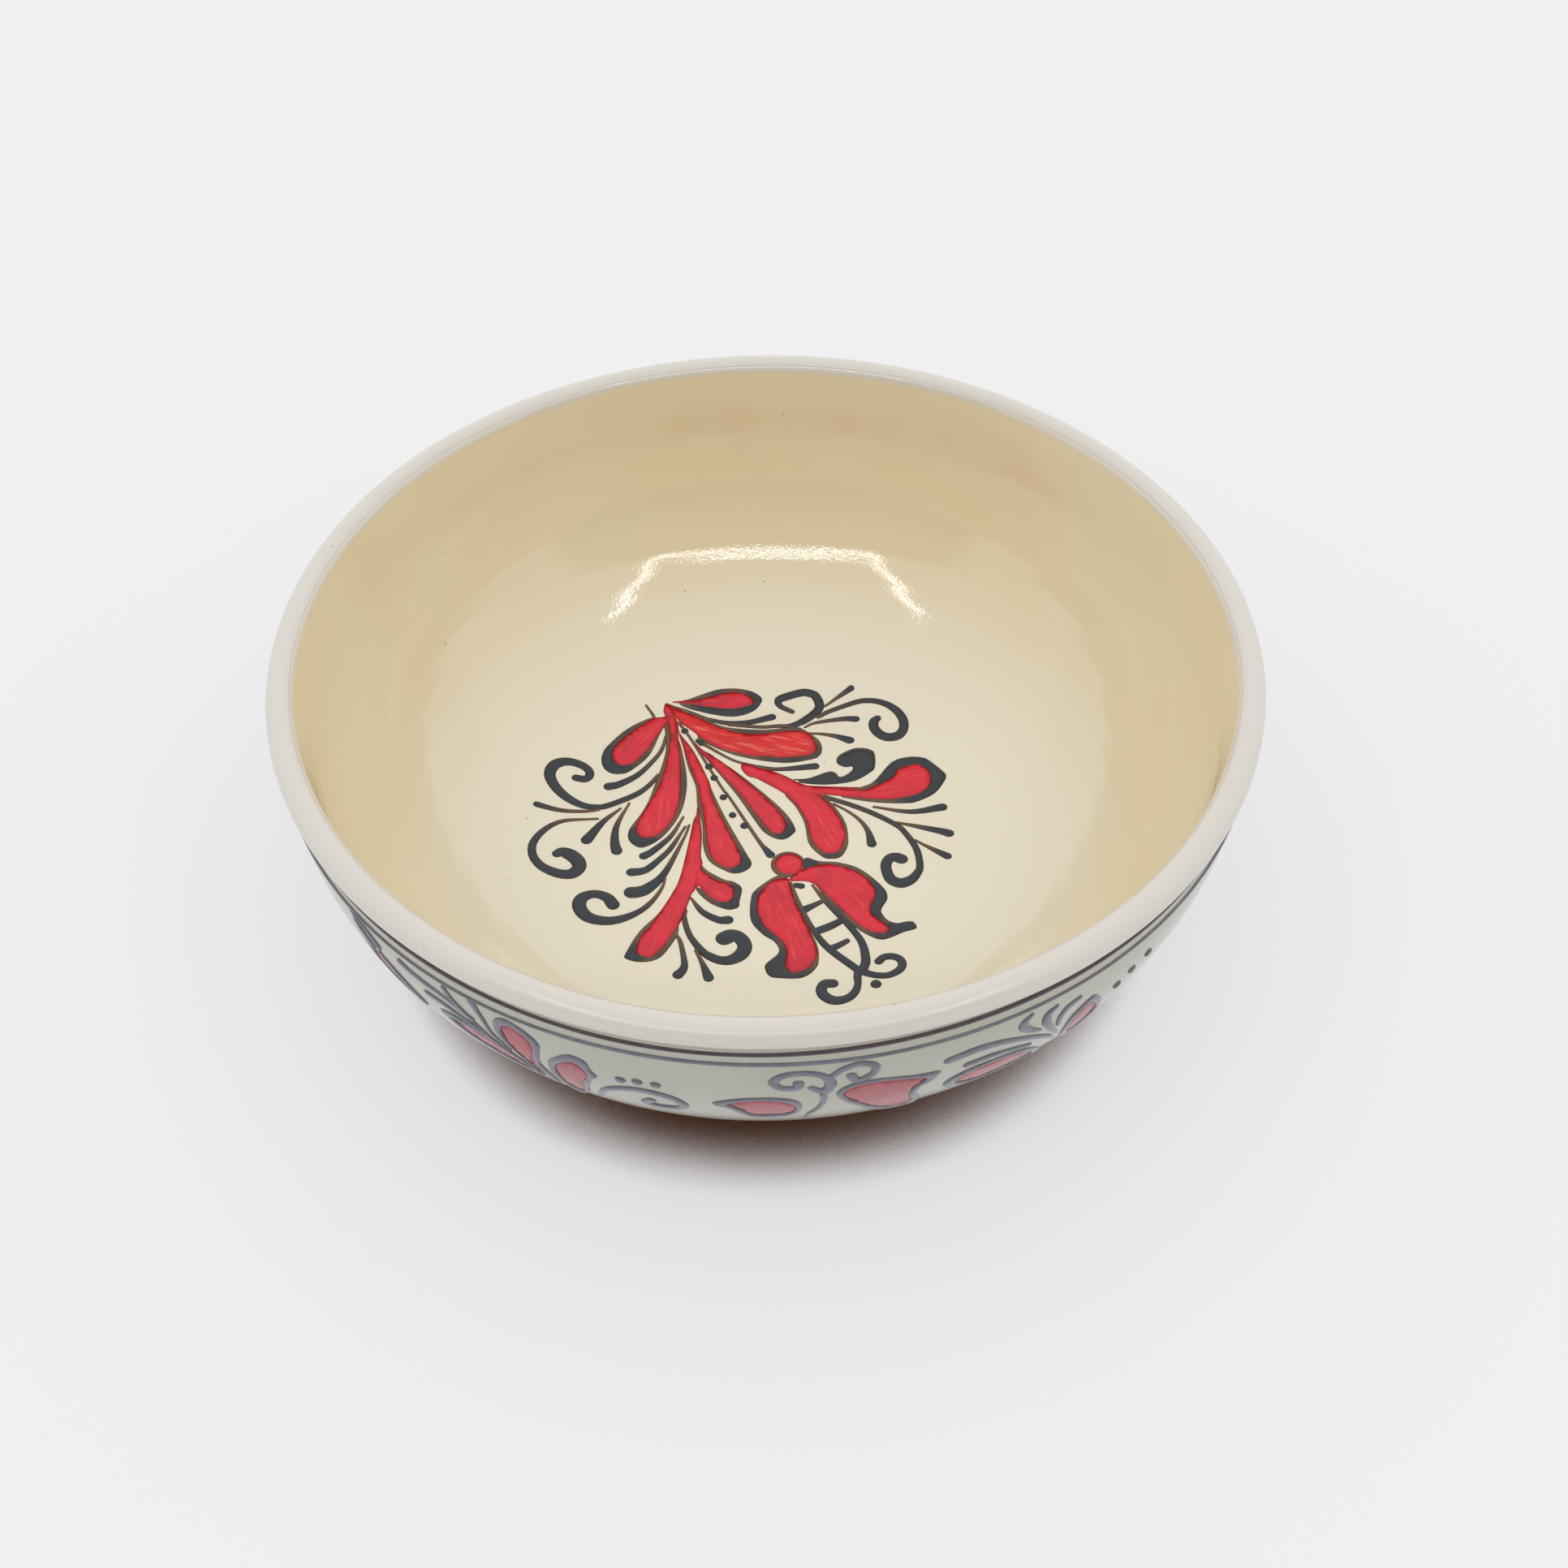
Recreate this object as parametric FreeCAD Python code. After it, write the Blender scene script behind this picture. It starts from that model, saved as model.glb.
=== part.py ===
import FreeCAD, Part
import math
import os

# Hand-thrown earthenware bowl, glazed, with slip-trailed folk ornament.
# Millimetres, +Z up, origin at the centre of the foot on the table.
# Azimuth is measured from the front (-Y) towards +X.

# ---- driving dimensions -------------------------------------------------
rim_radius = 125.0          # outermost radius of the bowl
bowl_height = 90.0          # top of the rim above the table
roll_radius = 3.6           # round section of the rim
wall_sweep = 73.0           # radius of the outer wall's arc
wall_centre_radius = 50.0   # where that arc's centre stands off the axis
wall_thickness = 6.5
foot_height = 7.25
foot_inner_radius = 45.5
foot_outer_radius = 52.0
foot_flare = 1.0            # the foot widens by this much up to the wall
foot_edge = 0.8             # rounding of the edges that meet the table
floor_sweep = 2000.0        # radius of the floor's slight dish
coat = 0.4                  # thickness of every glaze or slip coat
neck_radius = 1.6           # concave turn between the rim and the wall
white_band_start = 135.0    # degrees round the rim where the liner gives way to the white band
line_height = 0.45          # how far the trailed lines stand up
paint_height = 0.25         # how far the red fillings stand up
upper_line_level = 81.0
upper_line_width = 1.3
lower_line_level = 77.0
lower_line_width = 1.1
motif_repeats = 3           # times the outside ornament runs round the wall
inside_layer_end = -55.0    # degrees on the inner wall's arc: the floor ornament stops short of it
outside_layer_low = -42.0   # degrees on the outer wall's arc: the outside ornament lies between these
outside_layer_high = -3.2
prism_start = 85.0          # upright outlines are pushed out from here, inside the wall
prism_length = 50.0         # far enough to pass right through the wall or the floor
smallest_piece = 0.12       # cubic mm: specks left where two outlines graze each other are dropped

# ---- values worked out from them ----------------------------------------
wall_centre_height = foot_height + wall_sweep
inner_sweep = wall_sweep - wall_thickness
roll_centre_radius = rim_radius - roll_radius
roll_centre_height = bowl_height - roll_radius
reach = math.hypot(roll_centre_radius - wall_centre_radius, roll_centre_height - wall_centre_height)
rise = math.atan2(roll_centre_height - wall_centre_height, roll_centre_radius - wall_centre_radius)
inner_lean = math.acos((inner_sweep + roll_radius) / reach) - rise
floor_centre_rise = math.sqrt((floor_sweep - inner_sweep) ** 2 - wall_centre_radius ** 2)
floor_centre_height = wall_centre_height + floor_centre_rise
floor_turn = -math.pi / 2 + math.atan2(wall_centre_radius, floor_centre_rise)

wall_centre = (wall_centre_radius, wall_centre_height)
roll_centre = (roll_centre_radius, roll_centre_height)
floor_centre = (0.0, floor_centre_height)

# the neck's centre touches the wall's arc and the rim's circle from outside
neck_to_wall = wall_sweep + neck_radius
neck_to_roll = roll_radius + neck_radius
neck_swing = math.acos((neck_to_wall ** 2 + reach ** 2 - neck_to_roll ** 2) / (2 * neck_to_wall * reach))
neck_wall_angle = rise - neck_swing
neck_centre = (wall_centre_radius + neck_to_wall * math.cos(neck_wall_angle),
               wall_centre_height + neck_to_wall * math.sin(neck_wall_angle))
neck_roll_angle = math.atan2(neck_centre[1] - roll_centre_height, neck_centre[0] - roll_centre_radius)

Z_AXIS = FreeCAD.Vector(0, 0, 1)
ORIGIN = FreeCAD.Vector(0, 0, 0)


# ---- profile helpers: points are (radius, height), angles in radians -----
def polar(centre, radius, angle):
    return (centre[0] + radius * math.cos(angle), centre[1] + radius * math.sin(angle))


def point(pair):
    return FreeCAD.Vector(pair[0], 0, pair[1])


def line(start, end):
    return Part.LineSegment(point(start), point(end)).toShape()


def arc(centre, radius, start, end):
    middle = polar(centre, radius, (start + end) / 2)
    return Part.Arc(point(polar(centre, radius, start)), point(middle),
                    point(polar(centre, radius, end))).toShape()


def turn(edges):
    """A solid of revolution from a closed profile."""
    wire = Part.Wire(Part.__sortEdges__(edges))
    return Part.Face(wire).revolve(ORIGIN, Z_AXIS, 360)


def inside_edges(depth, last_angle):
    """The bowl's inside at that depth under the glaze, from the axis up to an angle round the rim."""
    wall = inner_sweep + depth
    rim = roll_radius - depth
    lean_end = polar(wall_centre, wall, -inner_lean)
    return [
        arc(floor_centre, floor_sweep + depth, -math.pi / 2, floor_turn),
        arc(wall_centre, wall, floor_turn, -inner_lean),
        line(lean_end, polar(roll_centre, rim, math.pi - inner_lean)),
        arc(roll_centre, rim, math.pi - inner_lean, last_angle),
    ]


def outside_edges(depth, last_angle):
    """The neck and the outer wall at that depth, from the rim down to an angle on the wall's arc."""
    wall = wall_sweep - depth
    return [
        arc(neck_centre, neck_radius + depth, neck_roll_angle + math.pi, neck_wall_angle + math.pi),
        arc(wall_centre, wall, neck_wall_angle, last_angle),
    ]


# ---- the thrown pot -------------------------------------------------------
band_start = math.radians(white_band_start)
foot_top_radius = foot_outer_radius + foot_flare


def wall_angle_at_radius(radius, depth):
    return -math.acos((radius - wall_centre_radius) / (wall_sweep - depth))


def make_clay_body():
    underside = wall_centre_height - (wall_sweep - coat)
    edges = inside_edges(coat, band_start)
    edges.append(arc(roll_centre, roll_radius - coat, band_start, neck_roll_angle))
    edges.extend(outside_edges(coat, -math.pi / 2))
    edges.append(line((wall_centre_radius, underside), (0, underside)))
    edges.append(line((0, underside), (0, floor_centre_height - floor_sweep - coat)))
    return turn(edges)


def make_foot_ring():
    underside = wall_centre_height - (wall_sweep - coat)
    clay_sweep = wall_sweep - coat
    meets_wall = wall_angle_at_radius(foot_top_radius, coat)
    inner = foot_inner_radius
    outer = foot_outer_radius
    edges = [
        line((inner, underside), (inner, foot_edge)),
        arc((inner + foot_edge, foot_edge), foot_edge, math.pi, 1.5 * math.pi),
        line((inner + foot_edge, 0), (outer - foot_edge, 0)),
        arc((outer - foot_edge, foot_edge), foot_edge, -math.pi / 2, 0),
        line((outer, foot_edge), polar(wall_centre, clay_sweep, meets_wall)),
        arc(wall_centre, clay_sweep, meets_wall, -math.pi / 2),
        line((wall_centre_radius, underside), (inner, underside)),
    ]
    return turn(edges)


def make_coat(surface_edges, joins):
    """A coat between the clay and the finished surface; joins close its two ends."""
    return turn(surface_edges(0) + surface_edges(coat) + joins)


def rim_cut(angle):
    """The end of a coat on the round of the rim."""
    return line(polar(roll_centre, roll_radius, angle), polar(roll_centre, roll_radius - coat, angle))


def make_inner_glaze():
    floor_top = floor_centre_height - floor_sweep
    joins = [
        line((0, floor_top), (0, floor_top - coat)),
        rim_cut(band_start),
    ]
    return make_coat(lambda depth: inside_edges(depth, band_start), joins)


def make_white_rim_band():
    joins = [rim_cut(band_start), rim_cut(neck_roll_angle)]
    return make_coat(lambda depth: [arc(roll_centre, roll_radius - depth, band_start, neck_roll_angle)],
                     joins)


def make_outer_glaze():
    start = neck_roll_angle + math.pi
    end = wall_angle_at_radius(foot_top_radius + coat, 0)
    joins = [
        line(polar(neck_centre, neck_radius, start), polar(neck_centre, neck_radius + coat, start)),
        line(polar(wall_centre, wall_sweep, end), polar(wall_centre, wall_sweep - coat, end)),
    ]
    return make_coat(lambda depth: outside_edges(depth, end), joins)


def make_ring_line(level, width):
    """A trailed line round the outer wall: a low bead standing on the wall's arc."""
    middle = math.asin((level - wall_centre_height) / wall_sweep)
    half = width / 2 / wall_sweep
    low = point(polar(wall_centre, wall_sweep, middle - half))
    high = point(polar(wall_centre, wall_sweep, middle + half))
    crown = point(polar(wall_centre, wall_sweep + line_height, middle))
    return turn([arc(wall_centre, wall_sweep, middle - half, middle + half),
                 Part.Arc(low, crown, high).toShape()])


# ---- flat outlines of strokes and leaves ----------------------------------
def closed_face(outline):
    """A face bounded by a smooth closed curve through the outline's points."""
    curve = Part.BSplineCurve()
    curve.interpolate([FreeCAD.Vector(x, y, 0) for x, y in outline], PeriodicFlag=True)
    return Part.Face(Part.Wire([curve.toShape()]))


def stroke_face(stroke):
    """A trailed stroke: (x, y, width) along its middle, with round ends."""
    left, right, tips = [], [], []
    last = len(stroke) - 1
    for i, (x, y, width) in enumerate(stroke):
        ahead = stroke[min(i + 1, last)]
        behind = stroke[max(i - 1, 0)]
        along = FreeCAD.Vector(ahead[0] - behind[0], ahead[1] - behind[1], 0).normalize()
        middle = FreeCAD.Vector(x, y, 0)
        side = FreeCAD.Vector(-along.y, along.x, 0) * (width / 2)
        left.append(middle + side)
        right.append(middle - side)
        tips.append(along * (width / 2))
    start_tip = FreeCAD.Vector(stroke[0][0], stroke[0][1], 0) - tips[0]
    end_tip = FreeCAD.Vector(stroke[last][0], stroke[last][1], 0) + tips[last]
    edges = []
    for side_points in (left, right):
        curve = Part.BSplineCurve()
        curve.interpolate(side_points)
        edges.append(curve.toShape())
    edges.append(Part.Arc(left[0], start_tip, right[0]).toShape())
    edges.append(Part.Arc(left[last], end_tip, right[last]).toShape())
    return Part.Face(Part.Wire(Part.__sortEdges__(edges)))


def dot_face(x, y, radius):
    circle = Part.Circle(FreeCAD.Vector(x, y, 0), Z_AXIS, radius)
    return Part.Face(Part.Wire([circle.toShape()]))


def joined(faces):
    """The faces as one shape, overlaps merged."""
    if len(faces) == 1:
        return faces[0]
    return faces[0].fuse(faces[1:]).removeSplitter()


# ---- inside ornament: plan outlines, x to the right, y away from the front -
# Each leaf is (outer edge of its dark outline, red filling).
inner_leaves = {
    "upper_left_leaf": (
        [(-32.2, 50.8), (-35.5, 49.8), (-40.8, 45.8), (-45.7, 39.7), (-47.1, 36.6), (-47.3, 33.5),
         (-46.4, 30.9), (-44.4, 29.2), (-41.9, 28.9), (-39.1, 30), (-33.9, 36), (-31.1, 43.9),
         (-30, 47.8)],
        [(-28.6, 52.3), (-30.1, 51.3), (-33.9, 50), (-41.6, 42.6), (-44.5, 37.5), (-43.6, 33.4),
         (-41.7, 32.2), (-39.6, 32.3), (-37.5, 33.6), (-33.7, 38.9), (-32.4, 42), (-28.6, 49.8)]),
    "left_leaf": (
        [(-29.9, 49.2), (-29.4, 45.2), (-29.3, 36.4), (-33, 20.5), (-34.2, 16.6), (-35.7, 13.2),
         (-38.7, 7.2), (-38.3, 3), (-34.7, 0.7), (-29.2, 4.8), (-24.5, 13.5), (-22.8, 24.1),
         (-23.8, 34.9), (-25.9, 43.8)],
        [(-29.3, 56.2), (-30, 54.3), (-29.8, 52.5), (-29.1, 50.6), (-28.1, 42.9), (-29.2, 31.8),
         (-31.7, 21.9), (-35.4, 13), (-36.8, 9.1), (-36.8, 7), (-35.9, 5.1), (-34.1, 4.1), (-31.7, 4.6),
         (-29.5, 6.3), (-25.7, 12.9), (-24.4, 23.2), (-24.8, 36.4), (-26.5, 51.1), (-27.7, 54.7)]),
    "middle_leaf": (
        [(-24.5, 42.9), (-22.7, 39.6), (-18.8, 31.3), (-12.5, 13.5), (-6.2, -1.5), (-4.8, -4.7),
         (-4.9, -6.7), (-6.4, -8.3), (-8.7, -9.2), (-11.4, -8.5), (-16.1, -4.8), (-18, 0.8), (-18.4, 9),
         (-19.8, 16.4), (-20.4, 24), (-22.7, 31.8)],
        [(-27.7, 52.8), (-25.8, 49.7), (-25.4, 46.2), (-24.4, 43.8), (-20.8, 37.3), (-16.4, 25.3),
         (-15.7, 20.6), (-12.8, 11.8), (-8.1, -0.6), (-7.7, -5.5), (-10.6, -7.4), (-14.5, -5.2),
         (-16.7, -0.4), (-18.1, 12.3), (-19.3, 20.2), (-19.7, 24.4), (-21, 27.7), (-25.9, 46.2)]),
    "slim_leaf": (
        [(-17.1, 37.2), (-14.5, 34.9), (-5.2, 25.7), (4.1, 14.5), (7.5, 7.5), (6.6, 4.9), (4.3, 3.2),
         (1.7, 3.7), (-1.2, 6.1), (-3.4, 9.9), (-9.2, 21.2), (-17.1, 34.2), (-18.5, 36.8)],
        [(-20.8, 41.4), (-18.5, 38.4), (-13.1, 33.7), (-7.5, 27.6), (1.2, 17), (5.2, 9.7), (4, 5.6),
         (2.4, 5.1), (0.7, 6), (-1.1, 8.5), (-8.5, 21.6), (-13.8, 29.4), (-19.8, 38.7)]),
    "top_leaf": (
        [(-25.5, 56.6), (-22.7, 58.1), (-15.2, 61.5), (-10.1, 62.3), (-6, 61.8), (-2.8, 60.4),
         (-1.2, 57.8), (-4.2, 53.4), (-10.8, 51.6), (-22, 54.4)],
        [(-27.5, 56.9), (-20.6, 58.1), (-12.2, 60.7), (-8.4, 61), (-5.5, 59.9), (-3.5, 57.6),
         (-4.9, 55.7), (-11.2, 54.5), (-23.7, 56.2)]),
    "upper_right_leaf": (
        [(-19.9, 51.7), (-17.2, 50.4), (-11.8, 47.4), (-1.8, 46.1), (5, 46.7), (8.3, 47), (10.3, 46.3),
         (14.3, 42.5), (15.6, 40.1), (15.8, 37.5), (15.1, 35.5), (12.7, 33.9), (4.2, 32.8), (-8.5, 35.8),
         (-17.8, 41.1), (-19.9, 43.2)],
        [(-28.7, 55.7), (-26.4, 54.5), (-24, 53.6), (-18.6, 50.7), (-15.2, 48.3), (-8.5, 45.3),
         (-1.8, 44.6), (7.5, 45.7), (11.9, 44.4), (14.2, 40.3), (14.4, 38), (13.5, 36.2), (11.2, 35.2),
         (4.2, 34.5), (0.3, 35.1), (-3.5, 35.4), (-7.5, 36.4), (-13.8, 39), (-18.9, 42.9), (-21.2, 45.6),
         (-25.5, 49.9)]),
    "right_leaf": (
        [(20.7, 19.2), (22.7, 21.6), (26.2, 22.6), (30.1, 24.8), (35.5, 32.1), (40.2, 34), (44.2, 33.6),
         (46.3, 32.2), (49.8, 27.9), (50.7, 26), (50, 23.8), (47, 19.4), (41.9, 16.4), (38.1, 15.9),
         (30.5, 16.5), (23, 18.2)],
        [(14.3, 21.3), (19.3, 22.1), (26.9, 21.6), (29.2, 22.5), (35.1, 25.9), (37.3, 29.4),
         (41.6, 31.1), (43.8, 30.6), (46.3, 27.3), (45.6, 22), (41.6, 18.8), (34.7, 17.4), (26.8, 18),
         (19.2, 19.5), (15.4, 20.1)]),
    "lower_right_leaf": (
        [(4.8, 21), (7.9, 15.2), (10.1, 9), (11.2, 1.3), (14.8, -3.6), (17.3, -4.4), (19.7, -3.8),
         (21.3, -1.3), (22.1, 2.2), (21.6, 8.9), (18.7, 15.5), (15.4, 19.6), (10.9, 21.2)],
        [(4.6, 21.6), (6.6, 18.2), (8.2, 15.8), (10.5, 10.1), (12, 2.3), (15.2, -2.2), (19.3, -2),
         (21.4, 3.3), (20.8, 8.9), (18.1, 15.1), (15.1, 19.4), (12.8, 21.4), (8.6, 22.5)]),
    "bottom_leaf": (
        [(-26.8, -19.7), (-28.4, -21.4), (-30.4, -24.3), (-34.9, -30.1), (-38.3, -37.8), (-38, -39.4),
         (-35.6, -40.4), (-32.6, -40.5), (-30, -39.7), (-27.8, -37.5), (-24.7, -31.5), (-24.3, -27.3),
         (-25.1, -22.8)],
        [(-19.8, 16.4), (-20.1, 12.9), (-20.9, 10.6), (-21.7, 4.9), (-24.1, -9.6), (-26.4, -16.5),
         (-31.3, -26.6), (-34.5, -31.7), (-35.6, -36.5), (-34.7, -38.2), (-33, -39), (-31, -38.9),
         (-27.7, -34.7), (-23.8, -26.6), (-21, -16.7), (-20.2, -15.2), (-18.2, -6), (-18.6, -2.4),
         (-18.4, 5.7), (-19.1, 12.7)]),
    "side_leaf": (
        [(-18.8, -4.8), (-17.9, -6.5), (-16.3, -8.4), (-12, -11.4), (-9.6, -12.2), (-7.4, -14.6),
         (-8, -19.3), (-8.2, -21.2), (-9.3, -22.1), (-11.7, -22.2), (-16.3, -19.6), (-19.9, -14.7),
         (-19.8, -9.6)],
        [(-19.3, -7), (-17.9, -8.1), (-14.8, -11.1), (-11.1, -12.8), (-9.8, -14.1), (-9.3, -16),
         (-9.6, -17.9), (-10.5, -19.2), (-11.9, -19.9), (-13.7, -19.6), (-15.7, -18.3), (-17.7, -16.1),
         (-19, -13.8), (-20, -14), (-20.4, -10.4)]),
    "tulip_left_petal": (
        [(5, -11.1), (3.4, -10.2), (1.2, -10.8), (-3.6, -15.1), (-5, -18.5), (-5.1, -26), (-2.2, -31),
         (1.3, -34.2), (2.2, -37.7), (-1.2, -41.6), (-1.3, -43.9), (-0.5, -45.7), (1.1, -46.5),
         (6.5, -46.9), (9.2, -46.2), (11.4, -44.2), (12.7, -41.3), (12.5, -35.4), (9.4, -26.3)],
        [(5.1, -11.3), (3.9, -11), (0.4, -12.3), (-2.7, -16.8), (-3.5, -22.7), (-1.5, -28.7),
         (2.4, -33.1), (4.2, -37.6), (3.8, -42.3), (5.9, -45.1), (9.9, -43.7), (11.5, -41.4),
         (12.3, -36.2), (7.3, -20.4), (5.7, -13.4)]),
    "tulip_right_petal": (
        [(8.9, -6), (9.5, -4.4), (10.8, -3.7), (13.8, -5.1), (19.3, -5.8), (25, -8.4), (30.7, -14.9),
         (31.9, -19.1), (30.2, -22.8), (30.1, -24.4), (31.1, -26.5), (32.6, -27.8), (35, -28.4),
         (38.1, -27.8), (39.1, -30.3), (35.8, -31.5), (30.1, -34), (25.9, -32.2), (21.8, -28.4),
         (19.6, -25.5), (17.2, -22.8)],
        [(5.3, -12.1), (8.2, -8.8), (12.2, -6.8), (17.1, -6.3), (24, -9.2), (27.4, -13), (29, -17.3),
         (27.6, -21.5), (27.2, -23.5), (27.7, -25.2), (30.9, -28.4), (31.8, -29.9), (31.4, -31.3),
         (29.9, -32.1), (25.9, -30.7), (22.1, -26.9), (13.7, -15.5), (11.9, -13.4), (9.7, -12.5)]),
}

tulip_knob = (5.5, -6.1, 4.0)
tulip_knob_ring = (5.3, -6.2, 4.8)

# the red branch that carries the two right-hand leaves
inner_branch = [(-7.5, 31), (-6.6, 32.9), (-3.6, 31.6), (3.7, 28.4), (9.5, 24.5), (12.8, 23.5),
                (23.1, 22.7), (26, 22.4), (20.8, 20.4), (11.6, 19.5), (5.5, 20.4), (2.9, 22.2),
                (-2.8, 26.5), (-5.6, 27.8)]

# the broad dark curl above that branch
inner_curl = [(7.6, 26.2), (11.4, 26.4), (17.4, 28.9), (19.4, 28.3), (20.3, 26.9), (21.6, 27),
              (23.6, 28.6), (24.4, 30), (24, 30.8), (22.1, 30.6), (19.9, 32.3), (20.6, 35.2),
              (24.5, 37.7), (27.2, 38), (29.5, 37.3), (30.8, 35.6), (30.7, 30.6), (29.4, 28.4),
              (24.4, 25), (17.1, 23.9), (10.6, 24.5), (7.8, 25.4)]

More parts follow.
